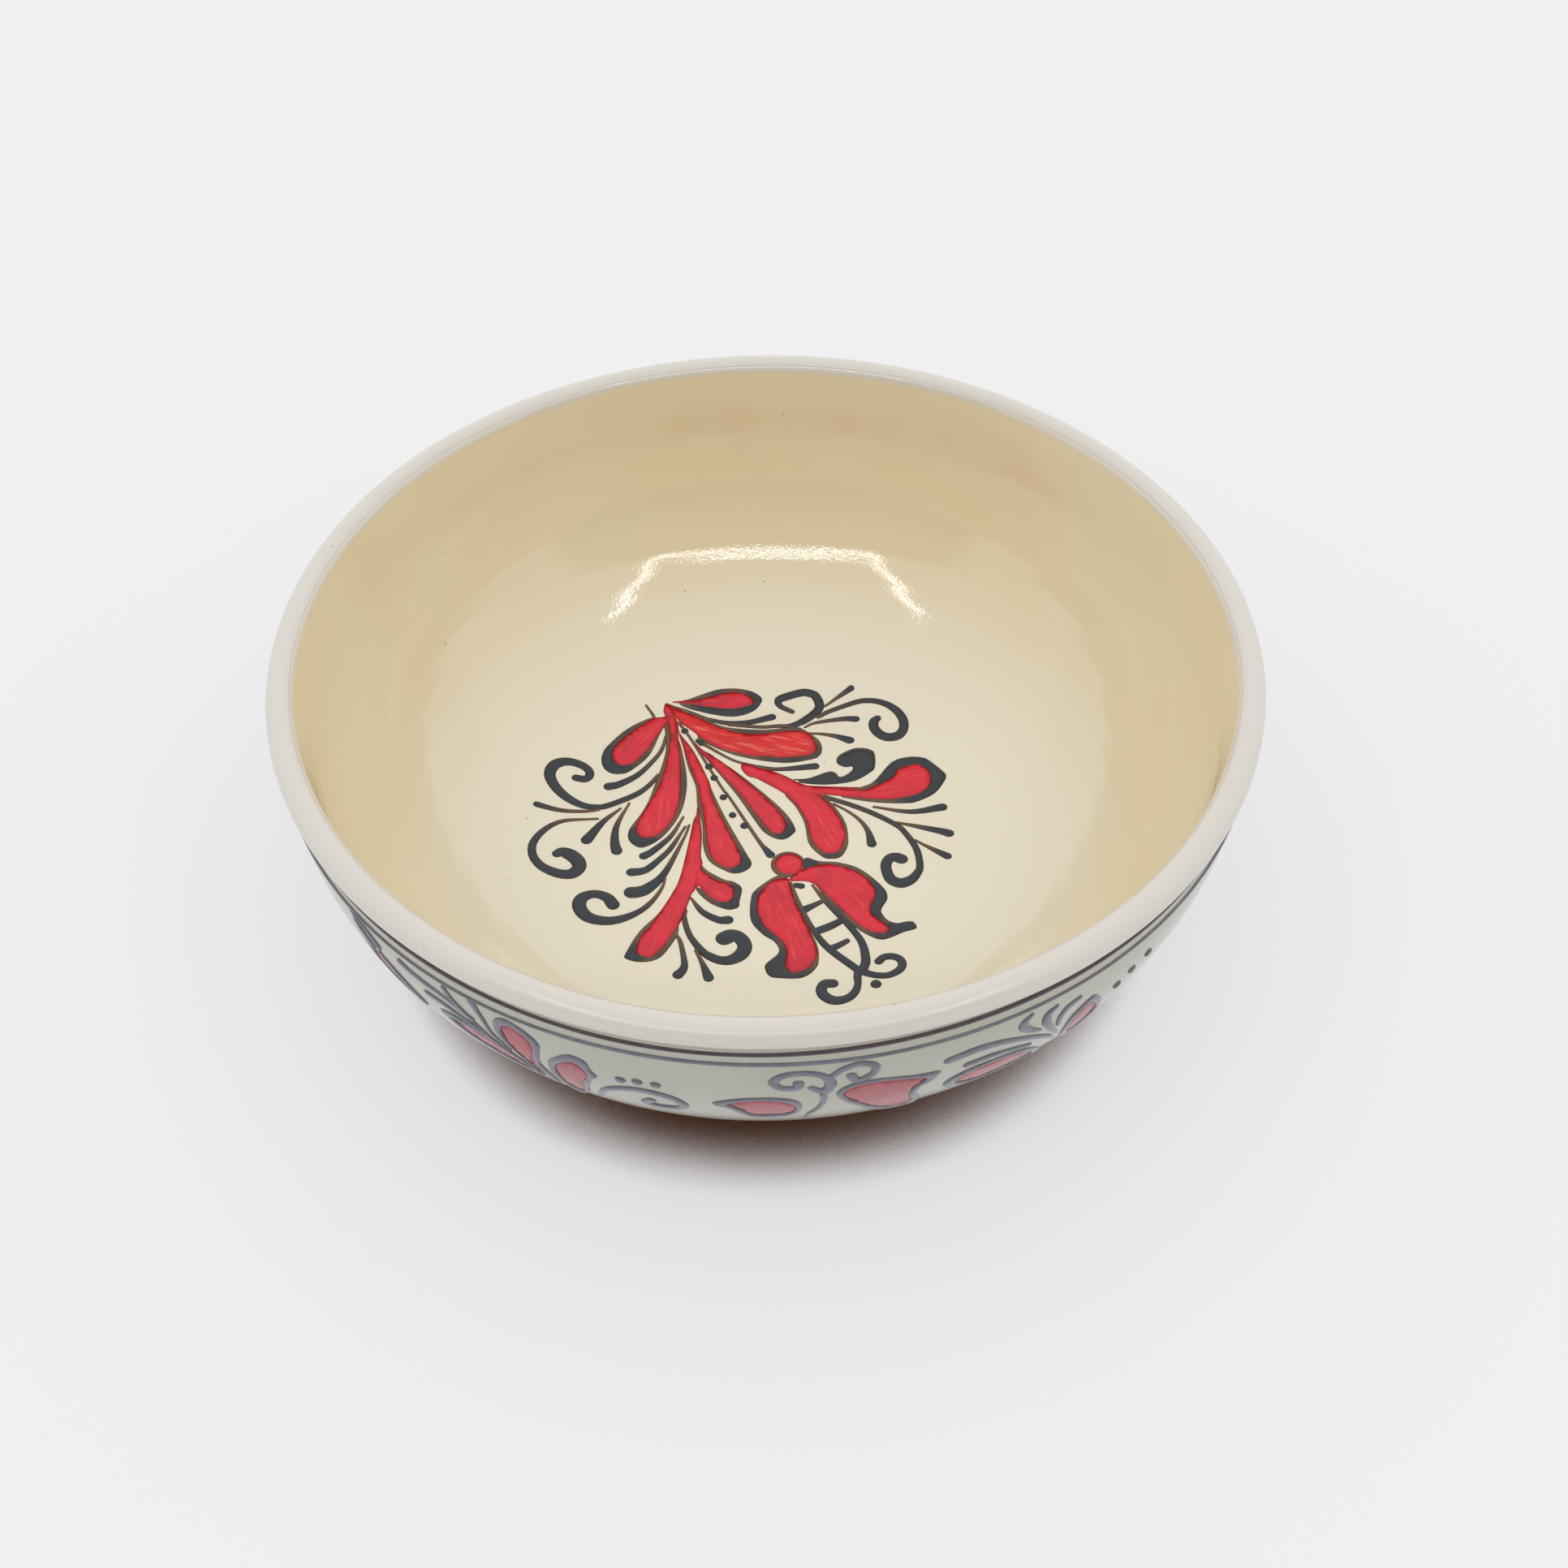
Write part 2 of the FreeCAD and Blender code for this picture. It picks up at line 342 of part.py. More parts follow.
# strokes as (x, y, width) along the middle
inner_strokes = {
    "stem_line": [
        [(-25.3, 49.1, 1), (-21.4, 41.7, 0.9), (-13.1, 23.7, 0.9), (-10.8, 19.6, 0.9), (-2.8, 3.1, 1.2),
         (-0.9, -0.2, 1.8), (0.5, -2.4, 2.6)]],
    "hub_ticks": [
        [(-35, 55, 0.6), (-33, 51.9, 1), (-32.6, 50.5, 0.9)],
        [(-29.2, 55.9, 0.8), (-27.7, 55.4, 0.7), (-23, 53.4, 1.4), (-17.2, 50.7, 1.2)]],
    "left_scrolls": [
        [(-31.1, 28.4, 1.2), (-32.1, 26.5, 1.5), (-34.5, 23.3, 1.7), (-37.9, 20.4, 2),
         (-45.1, 16.6, 2.1), (-48.6, 16.1, 2.1), (-52.1, 16.8, 2.4), (-55.9, 19, 2.8), (-59.1, 22, 3.1),
         (-61.1, 25.3, 3.3), (-61.5, 28, 3.3), (-60.3, 30.7, 3.2), (-58, 32.2, 3), (-55.4, 32.5, 2.8),
         (-52.8, 31.7, 2.7), (-50.9, 30.2, 2.6), (-50.4, 28.3, 2.6), (-51.6, 26.7, 2.6),
         (-54.2, 26.9, 2.5)],
        [(-47.5, 11.6, 0.6), (-54.3, 11.1, 1.1), (-57.7, 10.2, 1.4), (-60.7, 8.1, 1.7), (-63.2, 4.9, 2),
         (-64.7, 1.5, 2.2), (-64.9, -1.6, 2.4), (-64, -4.5, 2.7), (-61.9, -7, 3), (-58.9, -8.6, 3.3),
         (-55.9, -9.3, 3.5), (-53.3, -8.7, 3.8), (-51.8, -6.3, 4), (-52.6, -3.8, 4.2),
         (-54.7, -1.8, 4.2), (-56.8, -1.1, 3.6), (-58.1, -1.8, 2.8)]],
    "left_twigs": [
        [(-29.2, 43.9, 0.8), (-29.9, 39.7, 1.2), (-31.7, 35.5, 1.4), (-36.6, 28.8, 1.9),
         (-41.9, 25, 2.6), (-44.9, 24.1, 3)],
        [(-64.5, 15.6, 2.1), (-57.6, 14.4, 1.5), (-49.9, 14.5, 1), (-47.2, 15.1, 0.6)],
        [(-41.3, 15.5, 0.7), (-46.1, 10.3, 1.9), (-50.2, 3.7, 3.4)],
        [(-38.9, 17.5, 0.6), (-41.7, 10.5, 1.5), (-42.5, 6.3, 2.1), (-42.4, 2.3, 2.7),
         (-41.8, -0.4, 3.2)]],
    "upper_scrolls": [
        [(-10.8, 48.3, 1.2), (-1.8, 47.2, 1.3), (3.3, 47.5, 1.4), (6.4, 47.5, 1.6), (10.3, 49.1, 2.6),
         (15.3, 54.1, 2.8), (14.7, 58.5, 2.8), (12.8, 60, 2.8), (10.2, 60.3, 2.8), (4.8, 58.6, 2.8),
         (3.5, 57.5, 2.4), (4.1, 55.5, 1.9), (7.5, 53.2, 1.7)],
        [(15.1, 50.9, 1.4), (18.7, 53.1, 1.6), (26.3, 55.9, 1.8), (30.6, 56, 1.9), (34.1, 54.8, 2),
         (36.8, 52.8, 2.3), (38.7, 50.3, 2.6), (39.7, 47.4, 2.8), (39.4, 44.4, 2.9), (37.7, 42.4, 3.2),
         (35.1, 42, 3.3), (32.9, 43.1, 3.2), (31.2, 45.6, 3), (31.1, 48.2, 2.9), (32.1, 49.3, 2.4)]],
    "upper_twigs": [
        [(17.2, 55, 0.7), (20.8, 57.9, 1.3), (24.9, 60.9, 2.1)],
        [(11.1, 46.8, 0.7), (14.2, 48.5, 1.1), (22.1, 49.8, 1.8), (25.9, 49.6, 2.4)],
        [(12.2, 44.3, 0.7), (16.1, 43.9, 1.1), (20, 42.9, 1.7), (23.8, 41.3, 2.9)],
        [(-19.8, 41.9, 1.8), (-17.2, 39.8, 1.1), (-9.2, 33.8, 0.9), (-0.3, 30.7, 1.4), (4.7, 30.3, 1.6),
         (13.6, 31.2, 2.6)],
        [(-17.2, 50.7, 1.2), (-11.5, 49, 1.8), (-5.1, 49.2, 2), (1.5, 51.2, 2.7)]],
    "right_scroll": [
        [(16.2, 19, 1.6), (22.9, 16, 1.7), (29.6, 12.2, 1.8), (35.4, 7.9, 1.8), (37.7, 5.1, 1.8),
         (40.6, -1.2, 2), (41.3, -7.6, 2.1), (40.3, -10.6, 2.5), (38.4, -12.9, 3.2), (35.8, -13.9, 3.7),
         (33.3, -12.6, 3.4), (32.2, -9.7, 3.1), (32.1, -6.7, 3.1), (33.3, -4.6, 3.1), (35, -4.4, 3.6),
         (36.4, -5.1, 3.6)]],
    "right_twigs": [
        [(29.7, 14.8, 0.7), (39.8, 12.6, 1.7), (48.8, 14, 2.9)],
        [(35.6, 8.7, 0.7), (46.9, 5.2, 2.3), (50, 4, 2.9)],
        [(40.6, 1.7, 0.7), (43.5, -0.6, 1.1), (49, -4.5, 2.5)],
        [(18.5, 16.3, 0.6), (22.4, 13.3, 0.9), (25.7, 9.7, 1.2), (27.7, 5.6, 1.7), (28.5, 0.9, 2.8)]],
    "lower_twigs": [
        [(-23.7, 12.1, 0.7), (-27, 5, 1.5), (-31.8, -0.5, 2.2), (-34.3, -2.4, 2.7)],
        [(-23.1, 8.4, 0.6), (-26.3, 1.7, 1.5), (-28.3, -1.6, 1.7), (-32.7, -6.8, 2.3), (-35, -8.1, 2.7),
         (-37.5, -8.4, 3)],
        [(-22, 9, 0.6), (-23.4, 4.1, 0.9), (-28.5, -8.8, 2.1), (-32.8, -14.2, 3.6), (-35.4, -15.6, 4.1),
         (-37.3, -15.8, 4.2)],
        [(-21.1, -18.1, 0.8), (-18, -23, 1.9), (-13.7, -25.9, 2.5), (-11.2, -26, 3.1)],
        [(-24.7, -31.3, 1), (-23.7, -33.9, 1.3), (-22.6, -40.5, 1.8), (-22.9, -43.1, 2.4),
         (-24.2, -45, 3)],
        [(-19.7, -36.6, 0.9), (-17.9, -41, 1.5), (-16.2, -46.1, 2.9)]],
    "lower_scrolls": [
        [(-28.3, -10.8, 0.7), (-28.9, -13.7, 1), (-30.6, -17.4, 1.3), (-32.8, -20.6, 1.7),
         (-35.4, -23, 2), (-38.7, -24.9, 2.6), (-42, -25.9, 3), (-45, -25.9, 3.3), (-48.1, -25, 3.7),
         (-50.1, -23.2, 3.9), (-51.2, -20.5, 3.9), (-50.6, -17.9, 3.7), (-48.4, -16.5, 3.1),
         (-46, -16.5, 3), (-43.6, -17.8, 3.3), (-42.1, -20.2, 3.7)],
        [(-22.7, -22.4, 1.4), (-22.9, -25.1, 1.6), (-21.3, -31.3, 1.8), (-18.1, -36.7, 2.3),
         (-15.7, -38.9, 2.7), (-12.9, -40.2, 3), (-10.2, -40, 3.5), (-7.8, -38.3, 4), (-6.7, -35.9, 4),
         (-7.2, -33.6, 4), (-8.7, -31.9, 4.2), (-10.5, -31.7, 4.8), (-12.1, -32.5, 4.8)]],
    "tulip_ladder": [
        [(5.9, -13, 0.9), (8.2, -21.3, 1.4), (11.4, -29.6, 1.7), (15.3, -36.4, 2.2), (22.6, -44, 2.4)],
        [(11.8, -14, 0.8), (15.5, -20.4, 1.6), (21.5, -29.3, 2), (24.4, -35.1, 2.2), (25.1, -41, 2.6),
         (24.3, -44, 2.6)],
        [(9, -22.9, 2.8), (11.7, -21.4, 1.9), (14.7, -19.6, 1.3)],
        [(13, -30.3, 2.6), (15.8, -29, 2.6), (18.9, -27.1, 2.2)],
        [(16.2, -36.7, 2.3), (18.4, -35.5, 2), (20.4, -34.2, 1.7)],
        [(7.4, -13.9, 1.9), (8.7, -14.2, 2.1)]],
    "tulip_curls": [
        [(23.2, -44.6, 2.6), (22.7, -46.6, 2.2), (22.7, -49.2, 2), (21.7, -52.2, 2.4),
         (19.5, -54.3, 2.8), (16.5, -54.8, 3.2), (14.1, -53.3, 3.2), (13.1, -51, 3), (14.1, -48.9, 3),
         (16.2, -48.8, 3)],
        [(24.1, -45, 2.4), (27.4, -46.3, 2.2), (30.7, -46.5, 2.2), (33.4, -45.1, 2.4),
         (34.6, -43.1, 2.4), (34, -40.9, 2.4), (31.9, -39.9, 2.3), (29.8, -40.2, 2.3),
         (28.5, -41.5, 2.4)]],
}

# dots as (x, y, radius)
inner_dots = {
    "stem_beads": [(-23.7, 45.9, 1.1), (-18.8, 41, 1.1), (-16.6, 31.6, 1.2), (-15.1, 27.2, 1.1),
                   (-12.5, 19.6, 1.1), (-9.9, 12.7, 1.1), (-6.6, 8.6, 1.2)],
    "tulip_dot": [(27.4, -49.5, 1.5)],
}

# ---- outside ornament: (azimuth in degrees, height above the table) --------
# Each group is drawn about its own middle azimuth.
outer_groups = {
    -48: {
        "leaves": [
            ([(-52.6, 73.6), (-49.6, 70), (-46.6, 66), (-44.6, 62.2), (-42.9, 58), (-43, 54.8), (-46.4, 57),
              (-49.4, 61.4), (-51.8, 67)],
             [(-49.6, 68.6), (-47.2, 65.4), (-45.4, 61.8), (-44, 58), (-44.4, 56.4), (-47, 59),
              (-49.4, 63.4)]),
        ],
        "scrolls": [
            [(-52.4, 75.4, 1.2), (-50.6, 74.2, 1.4), (-48.9, 72.6, 1.6), (-47.9, 70.6, 1.6),
             (-48.3, 69, 1.2)],
        ],
    },
    -30: {
        "leaves": [
            ([(-30.9, 70), (-30.3, 73.6), (-28.9, 75.3), (-26.7, 73.7), (-25.2, 70), (-25.6, 64.6),
              (-26, 59.4), (-25.4, 53), (-25.2, 47), (-26.4, 50), (-27.8, 55.6), (-29.5, 61.7),
              (-30.6, 66.3)],
             [(-30, 69.3), (-29.6, 72), (-28.3, 73.1), (-26.8, 71.3), (-26.1, 67.7), (-26.5, 62.6),
              (-26.6, 57), (-26, 51), (-27.3, 55), (-29, 61.2), (-29.8, 65.7)]),
            ([(-24.9, 61.8), (-23.7, 66.2), (-21.7, 70), (-19.9, 68.8), (-19.5, 65), (-19, 62.4),
              (-19.9, 59), (-20.7, 54), (-21.4, 48), (-23.4, 42), (-24.3, 48), (-25.1, 55.2)],
             [(-24.1, 61.7), (-23, 65), (-21.5, 67), (-20.3, 64.8), (-20.1, 61), (-20.9, 57),
              (-21.4, 52), (-22.4, 46), (-23.7, 49.2), (-24.4, 56.2)]),
            ([(-39.6, 60.4), (-37.4, 63.3), (-34.1, 63.1), (-31, 60.5), (-28.6, 55.6), (-26.8, 49),
              (-29.6, 50), (-33, 52.6), (-36.6, 55)],
             [(-37.8, 60.5), (-35.8, 61.7), (-33.5, 61.5), (-31.2, 59.3), (-29.2, 55.2), (-28, 51.4),
              (-30.6, 52.6), (-33.5, 54.6), (-36.2, 57)]),
        ],
        "twigs": [
            [(-33.2, 75.6, 2.6), (-32.7, 73.2, 1.9), (-32.1, 69.8, 1.4), (-31.6, 65.6, 1.2),
             (-29.8, 60, 0.9)],
            [(-37, 74.8, 1.8), (-36.2, 72, 1.6), (-34.9, 69.3, 1.3), (-33.7, 66.2, 1.1),
             (-32.2, 62.6, 0.8)],
            [(-43.8, 72.6, 2.6), (-41.8, 71.6, 2.4), (-38.4, 70.9, 2), (-36, 69.8, 1.7),
             (-33.8, 67.8, 1.3)],
            [(-40.4, 66.4, 2.6), (-38.2, 66.5, 2.2), (-36.2, 65.7, 1.8), (-34.2, 64.3, 1.4),
             (-31.4, 61, 0.9)],
        ],
    },
    -14: {
        "scrolls": [
            [(-20.1, 48, 1.2), (-19, 54, 1.8), (-17.2, 58.1, 2.2), (-14.4, 60.2, 2.6), (-11.5, 59, 2.8),
             (-9.9, 55.6, 2.6), (-10.2, 52.2, 2.4), (-12.4, 50.8, 2.4), (-14.2, 52, 2.6),
             (-13.5, 54.4, 2.8)],
        ],
        "dots": [(-16.3, 64, 1.3), (-14.4, 64.7, 1.3), (-12.4, 64.7, 1.3)],
    },
    5: {
        "leaves": [
            ([(-6.6, 57.8), (-5, 60.4), (-2.6, 62), (0.2, 62.2), (2.4, 60.4), (3.2, 56.8), (3, 52.6),
              (1.8, 49.4), (-0.6, 48.2), (-2.6, 49), (-3.6, 51.6), (-4.8, 55)],
             [(-5, 58), (-4, 59.6), (-2.2, 60.8), (0.2, 60.8), (1.9, 59), (2.7, 55.8), (2.4, 52.4),
              (1, 50.4), (-1, 50), (-2.6, 51), (-3.8, 54.8)]),
            ([(6.8, 62), (7.6, 65.4), (9.8, 67.2), (12.8, 66.3), (15.8, 64.6), (18.2, 63.6), (17.8, 60),
              (16.4, 57.4), (16.2, 53), (17, 48), (17.2, 42), (15.6, 38), (13.2, 42), (11, 47.4),
              (9.4, 52.4), (7.6, 57.6)],
             [(7.4, 62), (8.2, 64.6), (10, 66), (12.8, 65.2), (15.6, 63.4), (16.8, 61.2), (15.8, 58),
              (15.5, 53), (16.2, 47), (16, 41), (13.4, 44), (11.2, 49), (9.4, 54.4), (8, 58.6)]),
        ],
        "scrolls": [
            [(5.7, 64.4, 3), (6.1, 67.6, 2.8), (5.4, 71.2, 2.2), (3.6, 73.2, 2), (1.3, 72.8, 2.2),
             (0.1, 70, 2.4), (0.9, 67.2, 2.2), (2.6, 67, 2.4), (2.7, 69, 2.6)],
            [(6, 70.6, 1.6), (7.2, 73.4, 1.9), (9.1, 74.9, 2), (10.7, 73, 2), (10.4, 69.6, 2.1),
             (8.8, 68, 2.2), (8.2, 70.4, 2.4)],
            [(4.1, 66.4, 1.8), (4.9, 64.8, 2.4)],
        ],
        "twigs": [
            [(5.4, 62.6, 1.8), (5.5, 58.6, 1.5), (5, 54, 1.3), (4.1, 49.6, 1.2), (3.8, 45, 1)],
        ],
    },
    30: {
        "leaves": [
            ([(19.3, 54), (20.2, 57.2), (22.6, 59.3), (26, 59.2), (29, 57.2), (31.2, 53.4), (33, 48),
              (30.8, 47), (26.8, 46.4), (22.6, 47), (20, 50)],
             [(20.8, 54), (21.8, 56.4), (23.8, 58), (26.6, 57.7), (29, 55.5), (31, 51.3), (31, 48.6),
              (27, 48), (23.4, 48.6), (21.2, 51)]),
            ([(34.6, 60), (35.2, 63.6), (37.2, 67), (38.6, 64.4), (39.8, 60), (40, 55), (38.8, 50),
              (37, 46.6), (35.6, 49), (34.8, 54)],
             [(35.3, 60), (36, 63), (37.2, 64.6), (38.2, 62.4), (39.2, 58.6), (39.2, 54.6), (38.2, 50.6),
              (37, 48.8), (36, 51.4), (35.3, 55.6)]),
        ],
        "twigs": [
            [(19, 67.6, 3), (22, 68.6, 2.9), (24.8, 67.7, 2.4), (27.6, 65, 2), (30, 61.8, 1.7),
             (32.2, 57.6, 1.4), (33.6, 53.6, 1)],
            [(28.3, 74.4, 1.2), (27.5, 72.2, 2.6), (27.8, 69.6, 2.6), (28.9, 67, 1.8), (30.2, 64.8, 0.8)],
            [(31.6, 72.8, 1.2), (30.7, 71.2, 2.6), (30.7, 68.2, 2.7), (31.4, 64.6, 2), (32.6, 60, 1.4),
             (33.6, 56.6, 1)],
            [(34.9, 70.6, 1.6), (33.5, 69.4, 2.2), (32.8, 66.4, 2), (32.9, 62.6, 1.4)],
            [(21.5, 62.1, 2.6), (24.3, 62.4, 2.2), (27, 61, 1.6), (29.6, 58.6, 1.1)],
        ],
    },
    45: {
        "dots": [(41.8, 62.4, 1.3), (43.8, 65, 1.3), (46.4, 66.6, 1.3)],
    },
}


# ---- raising flat outlines on the bowl's surfaces --------------------------
def inside_layer(height):
    """The space just over the bowl's floor, as thick as a stroke stands up."""
    end = math.radians(inside_layer_end)
    floor_top = floor_centre_height - floor_sweep
    edges = [
        arc(floor_centre, floor_sweep, -math.pi / 2, floor_turn),
        arc(wall_centre, inner_sweep, floor_turn, end),
        line(polar(wall_centre, inner_sweep, end), polar(wall_centre, inner_sweep - height, end)),
        arc(wall_centre, inner_sweep - height, floor_turn, end),
        arc(floor_centre, floor_sweep - height, -math.pi / 2, floor_turn),
        line((0, floor_top), (0, floor_top + height)),
    ]
    return turn(edges)


def outside_layer(height):
    """The space just outside the outer wall."""
    low = math.radians(outside_layer_low)
    high = math.radians(outside_layer_high)
    edges = [
        arc(wall_centre, wall_sweep, low, high),
        arc(wall_centre, wall_sweep + height, low, high),
        line(polar(wall_centre, wall_sweep, low), polar(wall_centre, wall_sweep + height, low)),
        line(polar(wall_centre, wall_sweep, high), polar(wall_centre, wall_sweep + height, high)),
    ]
    return turn(edges)


def raise_inside(face, layer):
    """The part of the layer that stands over a plan outline."""
    return face.extrude(FreeCAD.Vector(0, 0, prism_length)).common(layer)


def raise_outside(face, azimuth, layer):
    """The part of the layer outward of an outline drawn on the upright plane at that azimuth."""
    prism = face.extrude(FreeCAD.Vector(0, 0, prism_length))
    prism.translate(FreeCAD.Vector(0, 0, prism_start))
    prism.rotate(ORIGIN, FreeCAD.Vector(1, 0, 0), 90)
    prism.rotate(ORIGIN, Z_AXIS, azimuth)
    return prism.common(layer)


def wall_point(azimuth, height, middle):
    """Where a point of the outer wall falls on the upright plane at the middle azimuth."""
    radius = wall_centre_radius + math.sqrt(wall_sweep ** 2 - (height - wall_centre_height) ** 2)
    return (radius * math.sin(math.radians(azimuth - middle)), height)


def around_the_wall(solids):
    """The outside ornament's unit repeated evenly round the bowl."""
    copies = []
    for step in range(motif_repeats):
        for solid in solids:
            copy = solid.copy()
            copy.rotate(ORIGIN, Z_AXIS, step * 360.0 / motif_repeats)
            copies.append(copy)
    return copies


# ---- building and writing the pieces ---------------------------------------
def write(name, shape):
    solids = [s for s in shape.Solids if s.Volume > smallest_piece]
    result = solids[0] if len(solids) == 1 else Part.makeCompound(solids)
    result.exportStep("parts/%s.step" % name)
    print("%-26s solids %2d  volume %10.2f  valid %s"
          % (name, len(solids), result.Volume, result.isValid()))


def write_pot():
    write("clay_body", make_clay_body())
    write("foot_ring", make_foot_ring())
    write("inner_glaze", make_inner_glaze())
    write("white_rim_band", make_white_rim_band())
    write("outer_glaze", make_outer_glaze())
    write("upper_ring_line", make_ring_line(upper_line_level, upper_line_width))
    write("lower_ring_line", make_ring_line(lower_line_level, lower_line_width))


def write_inside_ornament():
    """Red fillings first, then the dark outlines round them, then the free strokes between."""
    paint_layer = inside_layer(paint_height)
    line_layer = inside_layer(line_height)
    knob_x, knob_y, knob_radius = tulip_knob
    reds = {name + "_red": closed_face(filling) for name, (outline, filling) in inner_leaves.items()}
    reds["tulip_knob_red"] = dot_face(knob_x, knob_y, knob_radius)
    reds["right_branch_red"] = closed_face(inner_branch)
    taken = None
    for name, face in reds.items():
        clear = face if taken is None else face.cut(taken)
        taken = face if taken is None else taken.fuse(face)
        write(name, raise_inside(clear, paint_layer))

    ring_x, ring_y, ring_radius = tulip_knob_ring
    darks = {name + "_outline": [closed_face(outline)] for name, (outline, filling) in inner_leaves.items()}
    darks["tulip_knob_outline"] = [dot_face(ring_x, ring_y, ring_radius)]
    darks["right_curl"] = [closed_face(inner_curl)]
    for name, dots in inner_dots.items():
        darks[name] = [dot_face(x, y, radius) for x, y, radius in dots]
    for name, strokes in inner_strokes.items():
        darks[name] = [stroke_face(stroke) for stroke in strokes]
    for name, faces in darks.items():
        whole = joined(faces)
        write(name, raise_inside(whole.cut(taken), line_layer))
        taken = taken.fuse(whole)


def write_outside_ornament():
    """The same order as inside, group by group; the unit is then repeated round the wall."""
    paint_layer = outside_layer(paint_height)
    line_layer = outside_layer(line_height)
    pieces = {"outer_leaf_reds": [], "outer_leaf_outlines": [], "outer_scrolls": [], "outer_twigs": [],
              "outer_dots": []}
    for middle, group in outer_groups.items():
        def flat(outline):
            return [wall_point(azimuth, height, middle) for azimuth, height in outline]

        def flat_stroke(stroke):
            return [wall_point(azimuth, height, middle) + (width,) for azimuth, height, width in stroke]

        taken = None
        for outline, filling in group.get("leaves", []):
            red = closed_face(flat(filling))
            clear = red if taken is None else red.cut(taken)
            pieces["outer_leaf_reds"].extend(raise_outside(clear, middle, paint_layer).Solids)
            taken = red if taken is None else taken.fuse(red)
        darks = [("outer_leaf_outlines", closed_face(flat(outline)))
                 for outline, filling in group.get("leaves", [])]
        darks += [("outer_scrolls", stroke_face(flat_stroke(s))) for s in group.get("scrolls", [])]
        darks += [("outer_twigs", stroke_face(flat_stroke(s))) for s in group.get("twigs", [])]
        for azimuth, height, radius in group.get("dots", []):
            x, y = wall_point(azimuth, height, middle)
            darks.append(("outer_dots", dot_face(x, y, radius)))
        for name, face in darks:
            clear = face if taken is None else face.cut(taken)
            pieces[name].extend(raise_outside(clear, middle, line_layer).Solids)
            taken = face if taken is None else taken.fuse(face)
    for name, solids in pieces.items():
        write(name, Part.makeCompound(around_the_wall(solids)))


os.makedirs("parts", exist_ok=True)
write_pot()
write_inside_ornament()
write_outside_ornament()
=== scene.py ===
import math

import bmesh
import bpy
import numpy as np
from mathutils import Matrix, Vector
from mathutils.geometry import delaunay_2d_cdt


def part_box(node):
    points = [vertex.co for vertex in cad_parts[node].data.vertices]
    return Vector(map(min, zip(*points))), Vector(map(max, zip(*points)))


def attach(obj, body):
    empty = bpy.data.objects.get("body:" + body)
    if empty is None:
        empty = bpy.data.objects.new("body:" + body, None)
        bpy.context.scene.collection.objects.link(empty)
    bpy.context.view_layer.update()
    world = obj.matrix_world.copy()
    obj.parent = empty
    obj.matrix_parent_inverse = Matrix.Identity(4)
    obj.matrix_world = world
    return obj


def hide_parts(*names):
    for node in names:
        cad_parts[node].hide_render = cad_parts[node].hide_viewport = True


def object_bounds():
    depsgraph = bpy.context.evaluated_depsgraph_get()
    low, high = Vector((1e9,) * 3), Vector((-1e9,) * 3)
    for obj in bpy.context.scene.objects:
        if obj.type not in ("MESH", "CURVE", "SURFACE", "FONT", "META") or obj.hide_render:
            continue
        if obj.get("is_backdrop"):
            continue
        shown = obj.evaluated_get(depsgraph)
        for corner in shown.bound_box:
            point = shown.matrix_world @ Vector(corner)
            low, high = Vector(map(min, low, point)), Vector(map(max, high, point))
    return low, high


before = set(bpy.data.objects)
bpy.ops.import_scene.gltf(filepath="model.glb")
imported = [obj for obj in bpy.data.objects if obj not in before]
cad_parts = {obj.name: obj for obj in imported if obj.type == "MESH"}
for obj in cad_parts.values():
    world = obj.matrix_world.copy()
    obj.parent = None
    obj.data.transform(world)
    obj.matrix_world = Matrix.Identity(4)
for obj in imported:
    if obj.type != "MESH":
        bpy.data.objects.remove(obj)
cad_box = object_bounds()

# Glazed earthenware bowl with slip-trailed ornament. Shapes are worked out in millimetres of the bowl at
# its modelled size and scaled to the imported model's rim. +Z up, azimuth from the front (-Y) towards +X.

# ---- sizes, from the frame ------------------------------------------------
rim_low, rim_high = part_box("white_rim_band")
foot_low, foot_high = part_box("foot_ring")
modelled_rim_width = 250.0
unit = (rim_high.x - rim_low.x) / modelled_rim_width      # metres in one modelled millimetre

bowl_height = rim_high.z / unit
rim_radius = modelled_rim_width / 2
foot_outer_radius = (foot_high.x - foot_low.x) / 2 / unit
roll_radius = 3.6
coat = 0.4
wall_sweep = 73.0
wall_centre_radius = 50.0
foot_height = 7.25
wall_thickness = 6.5
floor_sweep = 2000.0
neck_radius = 1.6
white_band_start = math.radians(135)
line_height = 0.45
paint_height = 0.2
upper_line_level = 81.0
upper_line_width = 1.3
lower_line_level = 77.0
lower_line_width = 1.1
motif_repeats = 3

wall_centre_height = foot_height + wall_sweep
inner_sweep = wall_sweep - wall_thickness
roll_centre = (rim_radius - roll_radius, bowl_height - roll_radius)
wall_centre = (wall_centre_radius, wall_centre_height)
reach = math.hypot(roll_centre[0] - wall_centre[0], roll_centre[1] - wall_centre[1])
rise = math.atan2(roll_centre[1] - wall_centre[1], roll_centre[0] - wall_centre[0])
inner_lean = math.acos((inner_sweep + roll_radius) / reach) - rise
floor_centre_rise = math.sqrt((floor_sweep - inner_sweep) ** 2 - wall_centre_radius ** 2)
floor_centre = (0.0, wall_centre_height + floor_centre_rise)
floor_turn = -math.pi / 2 + math.atan2(wall_centre_radius, floor_centre_rise)
neck_to_wall = wall_sweep + neck_radius
neck_to_roll = roll_radius + neck_radius
neck_swing = math.acos((neck_to_wall ** 2 + reach ** 2 - neck_to_roll ** 2) / (2 * neck_to_wall * reach))
neck_wall_angle = rise - neck_swing
neck_centre = (wall_centre[0] + neck_to_wall * math.cos(neck_wall_angle),
               wall_centre[1] + neck_to_wall * math.sin(neck_wall_angle))
